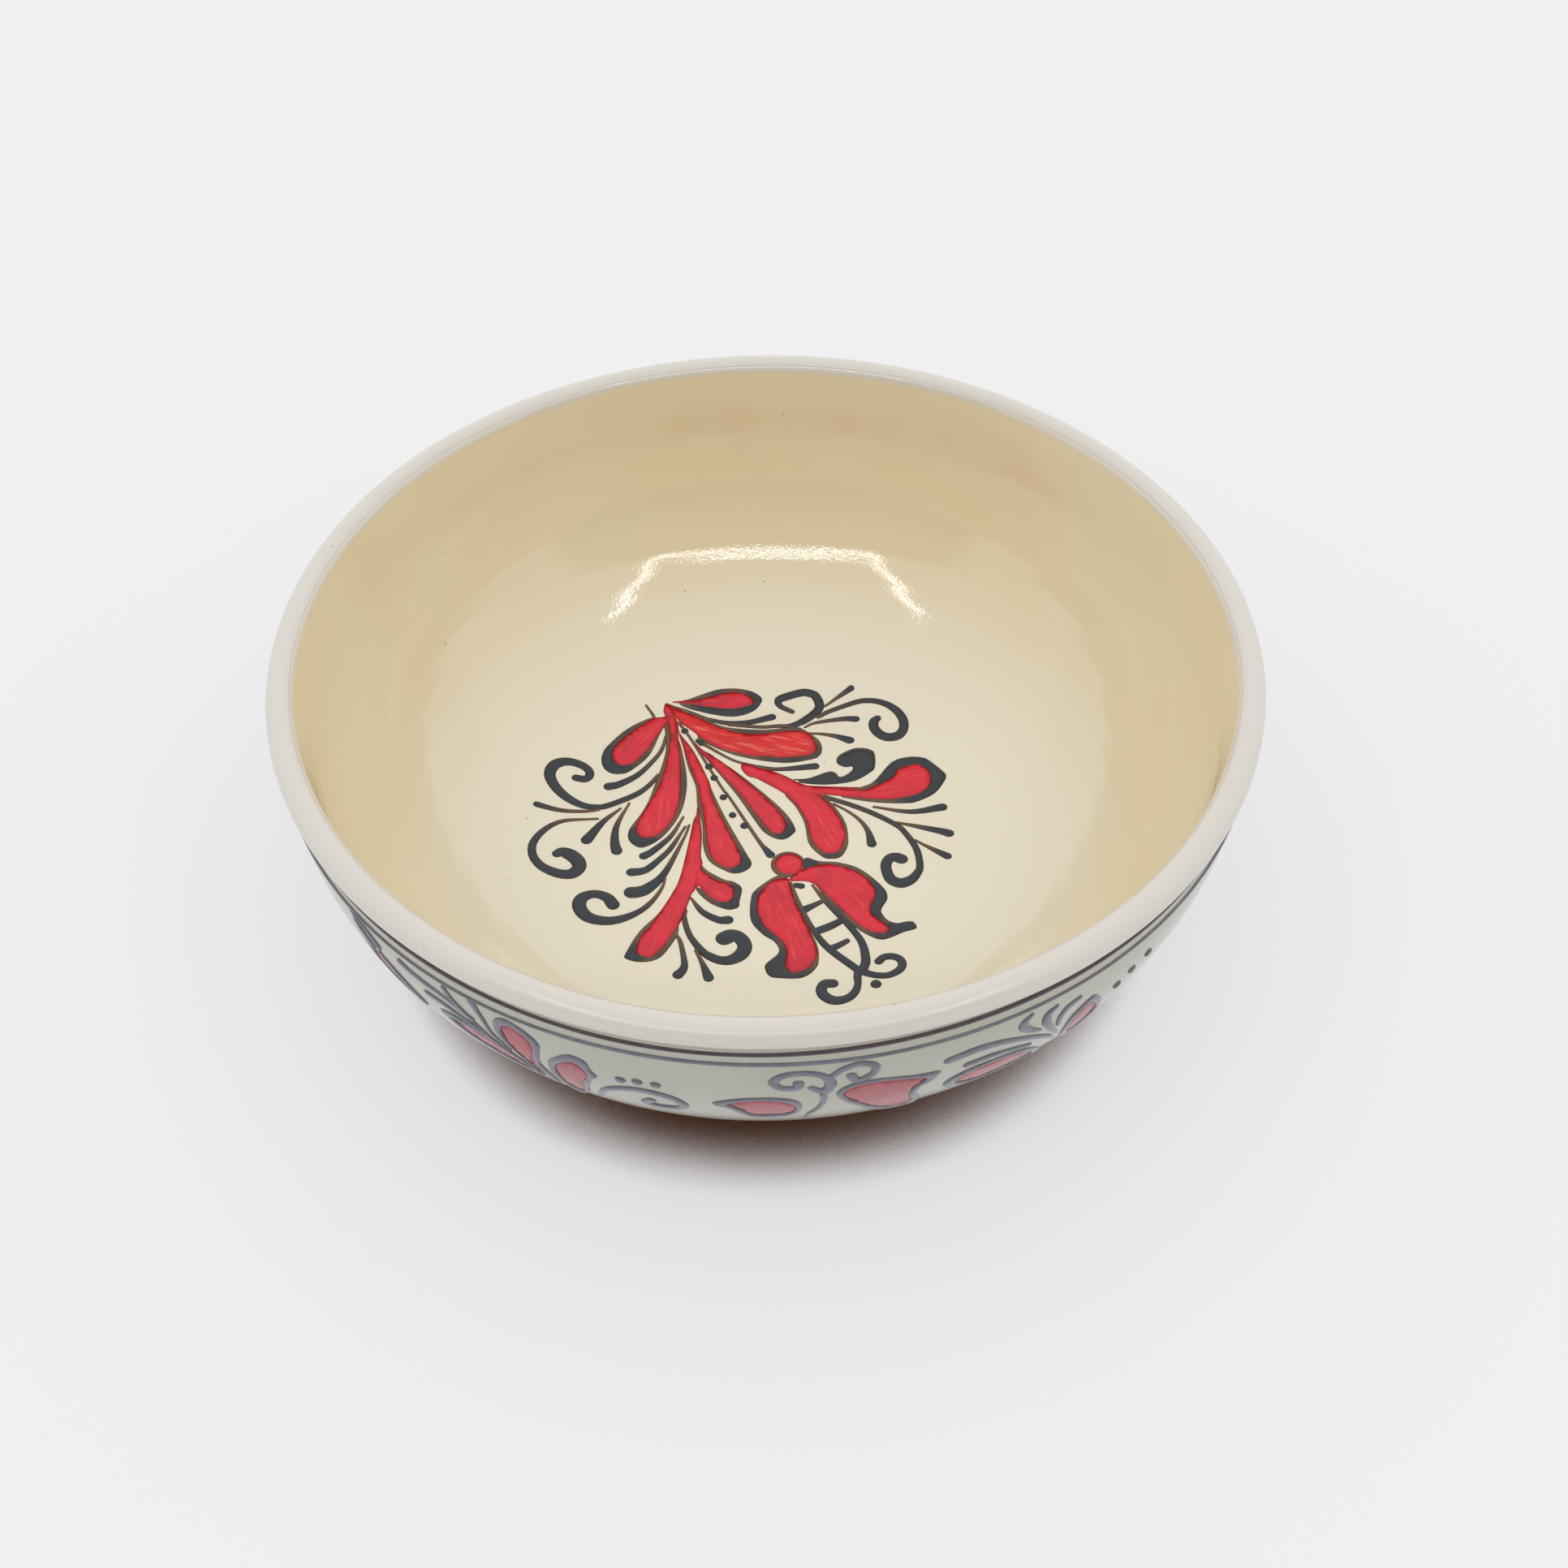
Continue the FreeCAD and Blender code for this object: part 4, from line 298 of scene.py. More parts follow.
# ---- outside ornament: (azimuth in degrees, height above the table) --------
# Each group is drawn about its own middle azimuth.
outer_groups = {
    -48: {
        "leaves": [
            ([(-52.6, 73.6), (-49.6, 70), (-46.6, 66), (-44.6, 62.2), (-42.9, 58), (-43, 54.8), (-46.4, 57),
              (-49.4, 61.4), (-51.8, 67)],
             [(-49.6, 68.6), (-47.2, 65.4), (-45.4, 61.8), (-44, 58), (-44.4, 56.4), (-47, 59),
              (-49.4, 63.4)]),
        ],
        "scrolls": [
            [(-52.4, 75.4, 1.2), (-50.6, 74.2, 1.4), (-48.9, 72.6, 1.6), (-47.9, 70.6, 1.6),
             (-48.3, 69, 1.2)],
        ],
    },
    -30: {
        "leaves": [
            ([(-30.9, 70), (-30.3, 73.6), (-28.9, 75.3), (-26.7, 73.7), (-25.2, 70), (-25.6, 64.6),
              (-26, 59.4), (-25.4, 53), (-25.2, 47), (-26.4, 50), (-27.8, 55.6), (-29.5, 61.7),
              (-30.6, 66.3)],
             [(-30, 69.3), (-29.6, 72), (-28.3, 73.1), (-26.8, 71.3), (-26.1, 67.7), (-26.5, 62.6),
              (-26.6, 57), (-26, 51), (-27.3, 55), (-29, 61.2), (-29.8, 65.7)]),
            ([(-24.9, 61.8), (-23.7, 66.2), (-21.7, 70), (-19.9, 68.8), (-19.5, 65), (-19, 62.4),
              (-19.9, 59), (-20.7, 54), (-21.4, 48), (-23.4, 42), (-24.3, 48), (-25.1, 55.2)],
             [(-24.1, 61.7), (-23, 65), (-21.5, 67), (-20.3, 64.8), (-20.1, 61), (-20.9, 57),
              (-21.4, 52), (-22.4, 46), (-23.7, 49.2), (-24.4, 56.2)]),
            ([(-39.6, 60.4), (-37.4, 63.3), (-34.1, 63.1), (-31, 60.5), (-28.6, 55.6), (-26.8, 49),
              (-29.6, 50), (-33, 52.6), (-36.6, 55)],
             [(-37.8, 60.5), (-35.8, 61.7), (-33.5, 61.5), (-31.2, 59.3), (-29.2, 55.2), (-28, 51.4),
              (-30.6, 52.6), (-33.5, 54.6), (-36.2, 57)]),
        ],
        "twigs": [
            [(-33.2, 75.6, 2.6), (-32.7, 73.2, 1.9), (-32.1, 69.8, 1.4), (-31.6, 65.6, 1.2),
             (-29.8, 60, 0.9)],
            [(-37, 74.8, 1.8), (-36.2, 72, 1.6), (-34.9, 69.3, 1.3), (-33.7, 66.2, 1.1),
             (-32.2, 62.6, 0.8)],
            [(-43.8, 72.6, 2.6), (-41.8, 71.6, 2.4), (-38.4, 70.9, 2), (-36, 69.8, 1.7),
             (-33.8, 67.8, 1.3)],
            [(-40.4, 66.4, 2.6), (-38.2, 66.5, 2.2), (-36.2, 65.7, 1.8), (-34.2, 64.3, 1.4),
             (-31.4, 61, 0.9)],
        ],
    },
    -14: {
        "scrolls": [
            [(-20.1, 48, 1.2), (-19, 54, 1.8), (-17.2, 58.1, 2.2), (-14.4, 60.2, 2.6), (-11.5, 59, 2.8),
             (-9.9, 55.6, 2.6), (-10.2, 52.2, 2.4), (-12.4, 50.8, 2.4), (-14.2, 52, 2.6),
             (-13.5, 54.4, 2.8)],
        ],
        "dots": [(-16.3, 64, 1.3), (-14.4, 64.7, 1.3), (-12.4, 64.7, 1.3)],
    },
    5: {
        "leaves": [
            ([(-6.6, 57.8), (-5, 60.4), (-2.6, 62), (0.2, 62.2), (2.4, 60.4), (3.2, 56.8), (3, 52.6),
              (1.8, 49.4), (-0.6, 48.2), (-2.6, 49), (-3.6, 51.6), (-4.8, 55)],
             [(-5, 58), (-4, 59.6), (-2.2, 60.8), (0.2, 60.8), (1.9, 59), (2.7, 55.8), (2.4, 52.4),
              (1, 50.4), (-1, 50), (-2.6, 51), (-3.8, 54.8)]),
            ([(6.8, 62), (7.6, 65.4), (9.8, 67.2), (12.8, 66.3), (15.8, 64.6), (18.2, 63.6), (17.8, 60),
              (16.4, 57.4), (16.2, 53), (17, 48), (17.2, 42), (15.6, 38), (13.2, 42), (11, 47.4),
              (9.4, 52.4), (7.6, 57.6)],
             [(7.4, 62), (8.2, 64.6), (10, 66), (12.8, 65.2), (15.6, 63.4), (16.8, 61.2), (15.8, 58),
              (15.5, 53), (16.2, 47), (16, 41), (13.4, 44), (11.2, 49), (9.4, 54.4), (8, 58.6)]),
        ],
        "scrolls": [
            [(5.7, 64.4, 3), (6.1, 67.6, 2.8), (5.4, 71.2, 2.2), (3.6, 73.2, 2), (1.3, 72.8, 2.2),
             (0.1, 70, 2.4), (0.9, 67.2, 2.2), (2.6, 67, 2.4), (2.7, 69, 2.6)],
            [(6, 70.6, 1.6), (7.2, 73.4, 1.9), (9.1, 74.9, 2), (10.7, 73, 2), (10.4, 69.6, 2.1),
             (8.8, 68, 2.2), (8.2, 70.4, 2.4)],
            [(4.1, 66.4, 1.8), (4.9, 64.8, 2.4)],
        ],
        "twigs": [
            [(5.4, 62.6, 1.8), (5.5, 58.6, 1.5), (5, 54, 1.3), (4.1, 49.6, 1.2), (3.8, 45, 1)],
        ],
    },
    30: {
        "leaves": [
            ([(19.3, 54), (20.2, 57.2), (22.6, 59.3), (26, 59.2), (29, 57.2), (31.2, 53.4), (33, 48),
              (30.8, 47), (26.8, 46.4), (22.6, 47), (20, 50)],
             [(20.8, 54), (21.8, 56.4), (23.8, 58), (26.6, 57.7), (29, 55.5), (31, 51.3), (31, 48.6),
              (27, 48), (23.4, 48.6), (21.2, 51)]),
            ([(34.6, 60), (35.2, 63.6), (37.2, 67), (38.6, 64.4), (39.8, 60), (40, 55), (38.8, 50),
              (37, 46.6), (35.6, 49), (34.8, 54)],
             [(35.3, 60), (36, 63), (37.2, 64.6), (38.2, 62.4), (39.2, 58.6), (39.2, 54.6), (38.2, 50.6),
              (37, 48.8), (36, 51.4), (35.3, 55.6)]),
        ],
        "twigs": [
            [(19, 67.6, 3), (22, 68.6, 2.9), (24.8, 67.7, 2.4), (27.6, 65, 2), (30, 61.8, 1.7),
             (32.2, 57.6, 1.4), (33.6, 53.6, 1)],
            [(28.3, 74.4, 1.2), (27.5, 72.2, 2.6), (27.8, 69.6, 2.6), (28.9, 67, 1.8), (30.2, 64.8, 0.8)],
            [(31.6, 72.8, 1.2), (30.7, 71.2, 2.6), (30.7, 68.2, 2.7), (31.4, 64.6, 2), (32.6, 60, 1.4),
             (33.6, 56.6, 1)],
            [(34.9, 70.6, 1.6), (33.5, 69.4, 2.2), (32.8, 66.4, 2), (32.9, 62.6, 1.4)],
            [(21.5, 62.1, 2.6), (24.3, 62.4, 2.2), (27, 61, 1.6), (29.6, 58.6, 1.1)],
        ],
    },
    45: {
        "dots": [(41.8, 62.4, 1.3), (43.8, 65, 1.3), (46.4, 66.6, 1.3)],
    },
}


# ---- shape helpers: profile points are (radius, height) ----------------------
def arc_points(centre, radius, start, end, count):
    """Evenly spaced points on an arc, both ends included."""
    return [(centre[0] + radius * math.cos(a), centre[1] + radius * math.sin(a))
            for a in np.linspace(start, end, count)]


def inside_profile(depth):
    """The inside surface at that depth under the glaze, from the axis to the white band."""
    wall = inner_sweep + depth
    rim = roll_radius - depth
    return (arc_points(floor_centre, floor_sweep + depth, -math.pi / 2, floor_turn, 40)
            + arc_points(wall_centre, wall, floor_turn, -inner_lean, 70)[1:]
            + arc_points(roll_centre, rim, math.pi - inner_lean, white_band_start, 10))


def band_profile(depth):
    return arc_points(roll_centre, roll_radius - depth, white_band_start, neck_roll_angle, 40)


def outside_profile(depth):
    """The neck and the outer wall at that depth, down to the foot."""
    wall = wall_sweep - depth
    end = -math.acos((foot_outer_radius + coat - wall_centre_radius) / wall_sweep)
    neck = arc_points(neck_centre, neck_radius + depth,
                      neck_roll_angle + math.pi, neck_wall_angle + math.pi, 10)
    return (neck
            + arc_points(wall_centre, wall, neck_wall_angle, end, 90)[1:])


def inside_surface(x, y):
    """Height of the inside surface over a plan point."""
    radius = math.hypot(x, y)
    floor_reach = floor_sweep * math.cos(floor_turn)
    if radius < floor_reach:
        return floor_centre[1] - math.sqrt(floor_sweep ** 2 - radius ** 2)
    return wall_centre_height - math.sqrt(inner_sweep ** 2 - (radius - wall_centre_radius) ** 2)


def outside_radius(height):
    return wall_centre_radius + math.sqrt(wall_sweep ** 2 - (height - wall_centre_height) ** 2)


floor_calm_radius = 20.0


def settle(points):
    """The slight unevenness of a hand-thrown pot, growing from nothing at the foot to the rim."""
    points = np.array(points, float)
    azimuth = np.arctan2(points[:, 0], -points[:, 1])
    # it dies away towards the axis too, so that points meeting there stay together
    share = np.clip(points[:, 2] / bowl_height, 0, 1) ** 2
    share *= np.clip(np.hypot(points[:, 0], points[:, 1]) / floor_calm_radius, 0, 1)
    stretch = 1 + share * (0.0012 * np.sin(2 * azimuth + 0.6) + 0.0006 * np.sin(3 * azimuth + 2.0))
    lift = share * (0.22 * np.sin(2 * azimuth + 1.3) + 0.12 * np.sin(5 * azimuth))
    points[:, 0] *= stretch
    points[:, 1] *= stretch
    points[:, 2] += lift
    return points


def add_piece(name, vertices, faces, material, replaced, values=None):
    """A mesh piece from points in modelled millimetres; values are per-vertex numbers for its material."""
    mesh = bpy.data.meshes.new(name)
    mesh.from_pydata((settle(vertices) * unit).tolist(), [], faces)
    mesh.validate()
    for key, numbers in (values or {}).items():
        attribute = mesh.attributes.new(key, "FLOAT", "POINT")
        attribute.data.foreach_set("value", np.array(numbers, np.float32))
    mesh.update()
    piece = bpy.data.objects.new(name, mesh)
    bpy.context.scene.collection.objects.link(piece)
    piece.data.materials.append(material)
    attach(piece, "root")
    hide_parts(*replaced)
    return piece


def ring_faces(rings, around):
    """Quads joining closed rings of the same count; the last ring joins the first."""
    faces = []
    for i in range(rings):
        upper = (i + 1) % rings
        for j in range(around):
            k = (j + 1) % around
            faces.append((i * around + j, i * around + k, upper * around + k, upper * around + j))
    return faces


turn_steps = 384


def lathe(profile, ripple=0.0, ripple_length=6.5):
    """Vertices and faces of a turned closed profile. A ripple leaves faint spiral throwing lines."""
    count = len(profile)
    flat = np.array(profile)
    ahead = np.roll(flat, -1, axis=0) - np.roll(flat, 1, axis=0)
    normals = np.stack([ahead[:, 1], -ahead[:, 0]], 1)
    normals /= np.maximum(np.linalg.norm(normals, axis=1), 1e-9)[:, None]
    run = np.concatenate([[0], np.cumsum(np.linalg.norm(np.diff(flat, axis=0), axis=1))])
    vertices = []
    for step in range(turn_steps):
        angle = 2 * math.pi * step / turn_steps
        wave = ripple * np.sin(2 * math.pi * run / ripple_length + angle)
        wave = wave * np.clip((flat[:, 0] - 62) / 12, 0, 1)
        moved = flat + normals * wave[:, None]
        for radius, height in moved:
            vertices.append((radius * math.sin(angle), -radius * math.cos(angle), height))
    faces = []
    for step in range(turn_steps):
        after = (step + 1) % turn_steps
        for j in range(count):
            k = (j + 1) % count
            faces.append((step * count + j, step * count + k, after * count + k, after * count + j))
    return vertices, faces


def clean(piece):
    """Merges the points that fall together, drops flat faces and turns the rest outward."""
    work = bmesh.new()
    work.from_mesh(piece.data)
    bmesh.ops.remove_doubles(work, verts=work.verts, dist=2e-8)
    bmesh.ops.dissolve_degenerate(work, edges=work.edges, dist=1e-7)
    strays = [e for e in work.edges if not e.link_faces]
    bmesh.ops.delete(work, geom=strays, context="EDGES")
    bmesh.ops.recalc_face_normals(work, faces=work.faces)
    if work.calc_volume(signed=True) < 0:
        bmesh.ops.reverse_faces(work, faces=work.faces)
    work.to_mesh(piece.data)
    work.free()
    piece.data.polygons.foreach_set("use_smooth", [True] * len(piece.data.polygons))
    piece.data.update()
    return piece


def smooth_through(points, spacing):
    """Points along a smooth curve through the given ones; each may carry further numbers, such as a width."""
    points = np.array(points, float)
    padded = np.vstack([2 * points[0] - points[1], points, 2 * points[-1] - points[-2]])
    out = []
    for i in range(1, len(padded) - 2):
        p0, p1, p2, p3 = padded[i - 1:i + 3]
        steps = max(2, int(math.ceil(np.linalg.norm((p2 - p1)[:2]) / spacing)))
        for t in np.arange(steps) / steps:
            out.append(0.5 * (2 * p1 + (p2 - p0) * t + (2 * p0 - 5 * p1 + 4 * p2 - p3) * t ** 2
                              + (3 * p1 - p0 - 3 * p2 + p3) * t ** 3))
    out.append(points[-1])
    return np.array(out)


def closed_curve(outline, count):
    """Evenly spaced points on a smooth closed curve through the outline's points."""
    points = np.array(outline, float)
    ring = np.vstack([points[-2:], points, points[:2]])
    dense = []
    for i in range(1, len(ring) - 3):
        p0, p1, p2, p3 = ring[i - 1:i + 3]
        for t in np.arange(24) / 24:
            dense.append(0.5 * (2 * p1 + (p2 - p0) * t + (2 * p0 - 5 * p1 + 4 * p2 - p3) * t ** 2
                                + (3 * p1 - p0 - 3 * p2 + p3) * t ** 3))
    dense = np.array(dense)
    loop = np.vstack([dense, dense[:1]])
    run = np.concatenate([[0], np.cumsum(np.linalg.norm(np.diff(loop, axis=0), axis=1))])
    marks = np.linspace(0, run[-1], count, endpoint=False)
    return np.stack([np.interp(marks, run, loop[:, k]) for k in range(2)], 1)


# ---- laying flat outlines on the bowl's surfaces ------------------------------
def covered(points, loops):
    """Which flat points lie inside any of the closed loops."""
    x, y = np.array(points, float)[:, :2].T[:, :, None]
    mask = np.zeros(len(points), bool)
    for loop in loops:
        after = np.roll(loop, -1, axis=0)
        crosses = (loop[:, 1] > y) != (after[:, 1] > y)
        with np.errstate(divide="ignore", invalid="ignore"):
            meets = loop[:, 0] + (y - loop[:, 1]) / (after[:, 1] - loop[:, 1]) * (after[:, 0] - loop[:, 0])
        mask |= np.count_nonzero(crosses & (x < meets), axis=1) % 2 == 1
    return mask


def lay(spots, place, paint=()):
    """Points (x, y, height) set on the bowl; what runs under the painted patches is sunk out of sight."""
    spots = np.array(spots, float)
    if len(paint):
        spots[covered(spots, paint), 2] = sunk
    return [place(x, y, height) for x, y, height in spots]


def on_floor(x, y, height):
    """A point that far above the bowl's inside, over a plan point."""
    radius = math.hypot(x, y)
    level = inside_surface(x, y)
    if radius <= wall_centre_radius:
        return (x, y, level + height)
    lean = (radius - wall_centre_radius) / inner_sweep
    along = -lean * height
    return (x + x / radius * along, y + y / radius * along, level + height * math.sqrt(1 - lean ** 2))


def on_wall(turned):
    """A placing function for the outside: x is millimetres round the wall from the front, y the height."""
    def place(x, y, height):
        radius = outside_radius(y)
        lean = (wall_centre_height - y) / wall_sweep
        outward = radius + height * math.sqrt(1 - lean ** 2)
        azimuth = x / wall_reference_radius + turned
        return (outward * math.sin(azimuth), -outward * math.cos(azimuth), y - height * lean)
    return place


wall_reference_radius = 120.0
sunk = -0.12                 # how far every applied shape is keyed into the glaze
overlap_step = 0.004         # painted patches that overlap differ by this in height
thinnest_line = 0.8
outline_overlap = 0.35       # how far a dark border runs over the edge of its red filling


def dome(share):
    """Height of a trailed line's section, from 1 in the middle to 0 at its edge."""
    return math.sqrt(max(0.0, 1 - abs(share) ** 2.4))


def bead(points, place, paint=(), spacing=0.7, across=9):
    """A trailed line with round ends and a domed section. Each point is (x, y, width)."""
    line = smooth_through(points, spacing)
    centre, width = line[:, :2], np.maximum(line[:, 2], thinnest_line)
    along = np.gradient(centre, axis=0)
    along /= np.linalg.norm(along, axis=1)[:, None]
    # each section: middle, direction, half width there, the line's full width
    sections = [(centre[i], along[i], width[i] / 2, width[i]) for i in range(len(centre))]
    for end, way in ((0, -1), (-1, 1)):
        half = width[end] / 2
        cap = []
        for turn in np.linspace(0, math.pi / 2, 6)[1:]:
            middle = centre[end] + way * along[end] * half * math.sin(turn)
            cap.append((middle, along[end], half * math.cos(turn), width[end]))
        sections = list(reversed(cap)) + sections if way < 0 else sections + cap
    shares = np.linspace(-1, 1, across)
    spots, thin, edge = [], [], []
    for middle, direction, half, full in sections:
        side = np.array([-direction[1], direction[0]])
        tall = line_height * min(1.0, 0.35 + full / 2.2) * min(1.0, 2 * half / full + 0.05)
        for share in shares:
            spots.append((*(middle + side * half * share), tall * dome(share)))
            edge.append(abs(share))
        for share in (1, -1):
            spots.append((*(middle + side * half * share), sunk))
            edge.append(1.0)
        thin += [full] * (across + 2)
    ring = across + 2
    faces = ring_faces(len(sections), ring)[:-ring]
    faces.append(tuple(range(ring)))
    faces.append(tuple(reversed(range((len(sections) - 1) * ring, len(sections) * ring))))
    return lay(spots, place, paint), faces, {"line_width": thin, "edge": edge}


def outline_bead(outline, filling, place, paint=(), count=220, across=7):
    """The dark border between a leaf's outer edge and its red filling, as a domed closed band."""
    outer = closed_curve(outline, count)
    inner = closed_curve(filling, 900)
    hidden = covered(outer, [inner])
    spots, thin, edge = [], [], []
    for point, under in zip(outer, hidden):
        nearest = inner[int(np.argmin(np.linalg.norm(inner - point, axis=1)))]
        width = max(0.25, float(np.linalg.norm(nearest - point)))
        start = nearest + (nearest - point) * min(outline_overlap / width, 1 / 3)
        tall = line_height * min(1.0, 0.25 + width / 2.0)
        for share in np.linspace(-1, 1, across):
            top = sunk if under else tall * dome(share)
            spots.append((*(start + (point - start) * (share + 1) / 2), top))
            edge.append(abs(share))
        for x, y in (point, start):
            spots.append((x, y, sunk))
            edge.append(1.0)
        thin += [width] * (across + 2)
    return lay(spots, place, paint), ring_faces(count, across + 2), {"line_width": thin, "edge": edge}


def filled(outline, place, height=paint_height, paint=(), count=160, grid=1.6, soft_edge=0.8):
    """A thin brushed patch: a closed pad whose top falls softly to its edge."""
    loop = closed_curve(outline, count)
    low, high = loop.min(0), loop.max(0)
    columns, rows = np.arange(low[0], high[0], grid), np.arange(low[1], high[1], grid)
    lattice = np.array([(x, y) for x in columns for y in rows])
    kept = [p for p, within in zip(lattice, covered(lattice, [loop]))
            if within and np.min(np.linalg.norm(loop - p, axis=1)) > 0.5 * grid]
    points = [Vector(p) for p in list(loop) + kept]
    border = [(i, (i + 1) % count) for i in range(count)]
    flat, _, triangles, _, _, _ = delaunay_2d_cdt(points, border, [], 1, 1e-6)
    flat = np.array([(p.x, p.y) for p in flat])
    gaps = np.array([np.min(np.linalg.norm(loop - p, axis=1)) for p in flat])
    tops = height * (0.25 + 0.75 * np.sqrt(np.minimum(1.0, gaps / soft_edge)))
    spots = [(*p, top) for p, top in zip(flat, tops)] + [(*p, sunk) for p in flat]
    # brush strokes run along the patch's longer direction
    long_way = np.linalg.svd(flat - flat.mean(0), full_matrices=False)[2][0]
    along = flat @ long_way
    across = flat @ np.array([-long_way[1], long_way[0]])
    count_flat = len(flat)
    faces = [tuple(t) for t in triangles]
    faces += [tuple(count_flat + v for v in reversed(t)) for t in triangles]
    sides = {(a, b) for t in triangles for a, b in zip(t, list(t[1:]) + [t[0]])}
    faces += [(b, a, count_flat + a, count_flat + b) for a, b in sorted(sides) if (b, a) not in sides]
    values = {"edge": gaps, "along": along, "across": across}
    return lay(spots, place, paint), faces, {key: list(numbers) * 2 for key, numbers in values.items()}


def dot(x, y, radius, place, paint=(), height=0.6):
    """A round drop of slip."""
    levels, around = 6, 24
    spots, edge = [], []
    shares = [1 - level / (levels + 0.35) for level in range(levels + 1)] + [1]
    for level, share in enumerate(shares):
        top = height * dome(share) if level <= levels else sunk
        for angle in np.linspace(0, 2 * math.pi, around, endpoint=False):
            spots.append((x + radius * share * math.cos(angle), y + radius * share * math.sin(angle), top))
            edge.append(share)
    # the rings run from the edge to the crown, then the sunk foot closes on the edge again
    faces = ring_faces(levels + 2, around)
    del faces[levels * around:(levels + 1) * around]
    faces.append(tuple(range(levels * around, (levels + 1) * around)))
    faces.append(tuple(reversed(range((levels + 1) * around, (levels + 2) * around))))
    return lay(spots, place, paint), faces, {"line_width": [2 * radius] * len(spots), "edge": edge}


def joined(parts):
    """Several meshes as one."""
    vertices, faces, values = [], [], {}
    for part_vertices, part_faces, part_values in parts:
        start = len(vertices)
        vertices += part_vertices
        faces += [tuple(start + v for v in f) for f in part_faces]
        for key, numbers in part_values.items():
            values.setdefault(key, []).extend(numbers)
    return vertices, faces, values


# ---- materials -----------------------------------------------------------------
glaze_index = 1.65


def new_material(name, roughness, coat_weight=0.0, bump=0.0, bump_scale=300.0, bump_detail=2.0):
    """A ceramic surface: a principled shader with a faint uneven skin. Returns the tree and its shader."""
    material = bpy.data.materials.new(name)
    material.use_nodes = True
    tree = material.node_tree
    shader = tree.nodes["Principled BSDF"]
    shader.inputs["Roughness"].default_value = roughness
    shader.inputs["IOR"].default_value = glaze_index
    shader.inputs["Coat Weight"].default_value = coat_weight
    shader.inputs["Coat Roughness"].default_value = 0.06
    if bump:
        grain = add(tree, "ShaderNodeTexNoise", Scale=bump_scale, Detail=bump_detail)
        tree.links.new(object_point(tree), grain.inputs["Vector"])
        node = add(tree, "ShaderNodeBump", Strength=1.0, Distance=bump)
        tree.links.new(grain.outputs["Fac"], node.inputs["Height"])
        tree.links.new(node.outputs["Normal"], shader.inputs["Normal"])
        tree.links.new(node.outputs["Normal"], shader.inputs["Coat Normal"])
    return material, tree, shader


def add(tree, kind, **values):
    node = tree.nodes.new(kind)
    for key, value in values.items():
        node.inputs[key.replace("_", " ")].default_value = value
    return node


def object_point(tree):
    """The surface point in the object's own space, in metres."""
    return tree.nodes.new("ShaderNodeTexCoord").outputs["Object"]


def maths(tree, operation, first, second=None, third=None):
    node = tree.nodes.new("ShaderNodeMath")
    node.operation = operation
    for socket, value in zip(node.inputs, (first, second, third)):
        if value is None:
            continue
        if isinstance(value, (int, float)):
            socket.default_value = value
        else:
            tree.links.new(value, socket)
    return node.outputs[0]


def ramp(tree, value, low, high):
    """0 below low, 1 above high, smooth between."""
    node = tree.nodes.new("ShaderNodeMapRange")
    node.interpolation_type = "SMOOTHSTEP"
    tree.links.new(value, node.inputs["Value"])
    node.inputs["From Min"].default_value = low
    node.inputs["From Max"].default_value = high
    return node.outputs["Result"]


def blend(tree, share, first, second):
    """A colour mixed from two, by a linked share; each is a colour or a socket."""
    node = tree.nodes.new("ShaderNodeMix")
    node.data_type = "RGBA"
    tree.links.new(share, node.inputs["Factor"])
    for socket, value in ((node.inputs[6], first), (node.inputs[7], second)):
        if isinstance(value, tuple):
            socket.default_value = value + (1.0,)
        else:
            tree.links.new(value, socket)
    return node.outputs[2]


def noise(tree, scale, detail=2.0, stretch=None):
    """Smooth noise over the object's space."""
    node = add(tree, "ShaderNodeTexNoise", Scale=scale, Detail=detail)
    source = object_point(tree)
    if stretch:
        mapping = tree.nodes.new("ShaderNodeMapping")
        mapping.inputs["Scale"].default_value = stretch
        tree.links.new(source, mapping.inputs["Vector"])
        source = mapping.outputs["Vector"]
    tree.links.new(source, node.inputs["Vector"])
    return node.outputs["Fac"]


def height_of(tree):
    split = tree.nodes.new("ShaderNodeSeparateXYZ")
    tree.links.new(object_point(tree), split.inputs[0])
    return split.outputs["Z"]


def specks(tree, scale, size):
    """1 on tiny sparse iron specks, 0 elsewhere."""
    cells = tree.nodes.new("ShaderNodeTexVoronoi")
    cells.inputs["Scale"].default_value = scale
    tree.links.new(object_point(tree), cells.inputs["Vector"])
    split = tree.nodes.new("ShaderNodeSeparateColor")
    tree.links.new(cells.outputs["Color"], split.inputs[0])
    reach_of_speck = maths(tree, "MULTIPLY", split.outputs[1], size)
    small = maths(tree, "LESS_THAN", cells.outputs["Distance"], reach_of_speck)
    chosen = maths(tree, "GREATER_THAN", split.outputs[0], 0.9)
    return maths(tree, "MULTIPLY", small, chosen)


def vertex_value(tree, name):
    node = tree.nodes.new("ShaderNodeAttribute")
    node.attribute_name = name
    return node.outputs["Fac"]


def srgb(red, green, blue):
    """A colour given as the eye sees it, 0 to 255, in the shader's own scale."""
    def linear(level):
        level /= 255
        return level / 12.92 if level <= 0.04045 else ((level + 0.055) / 1.055) ** 2.4
    return (linear(red), linear(green), linear(blue))


floor_cream = srgb(233, 226, 205)
wall_cream = srgb(233, 219, 185)
honey = srgb(232, 212, 168)
band_white = srgb(218, 212, 203)
speck_brown = srgb(120, 95, 70)


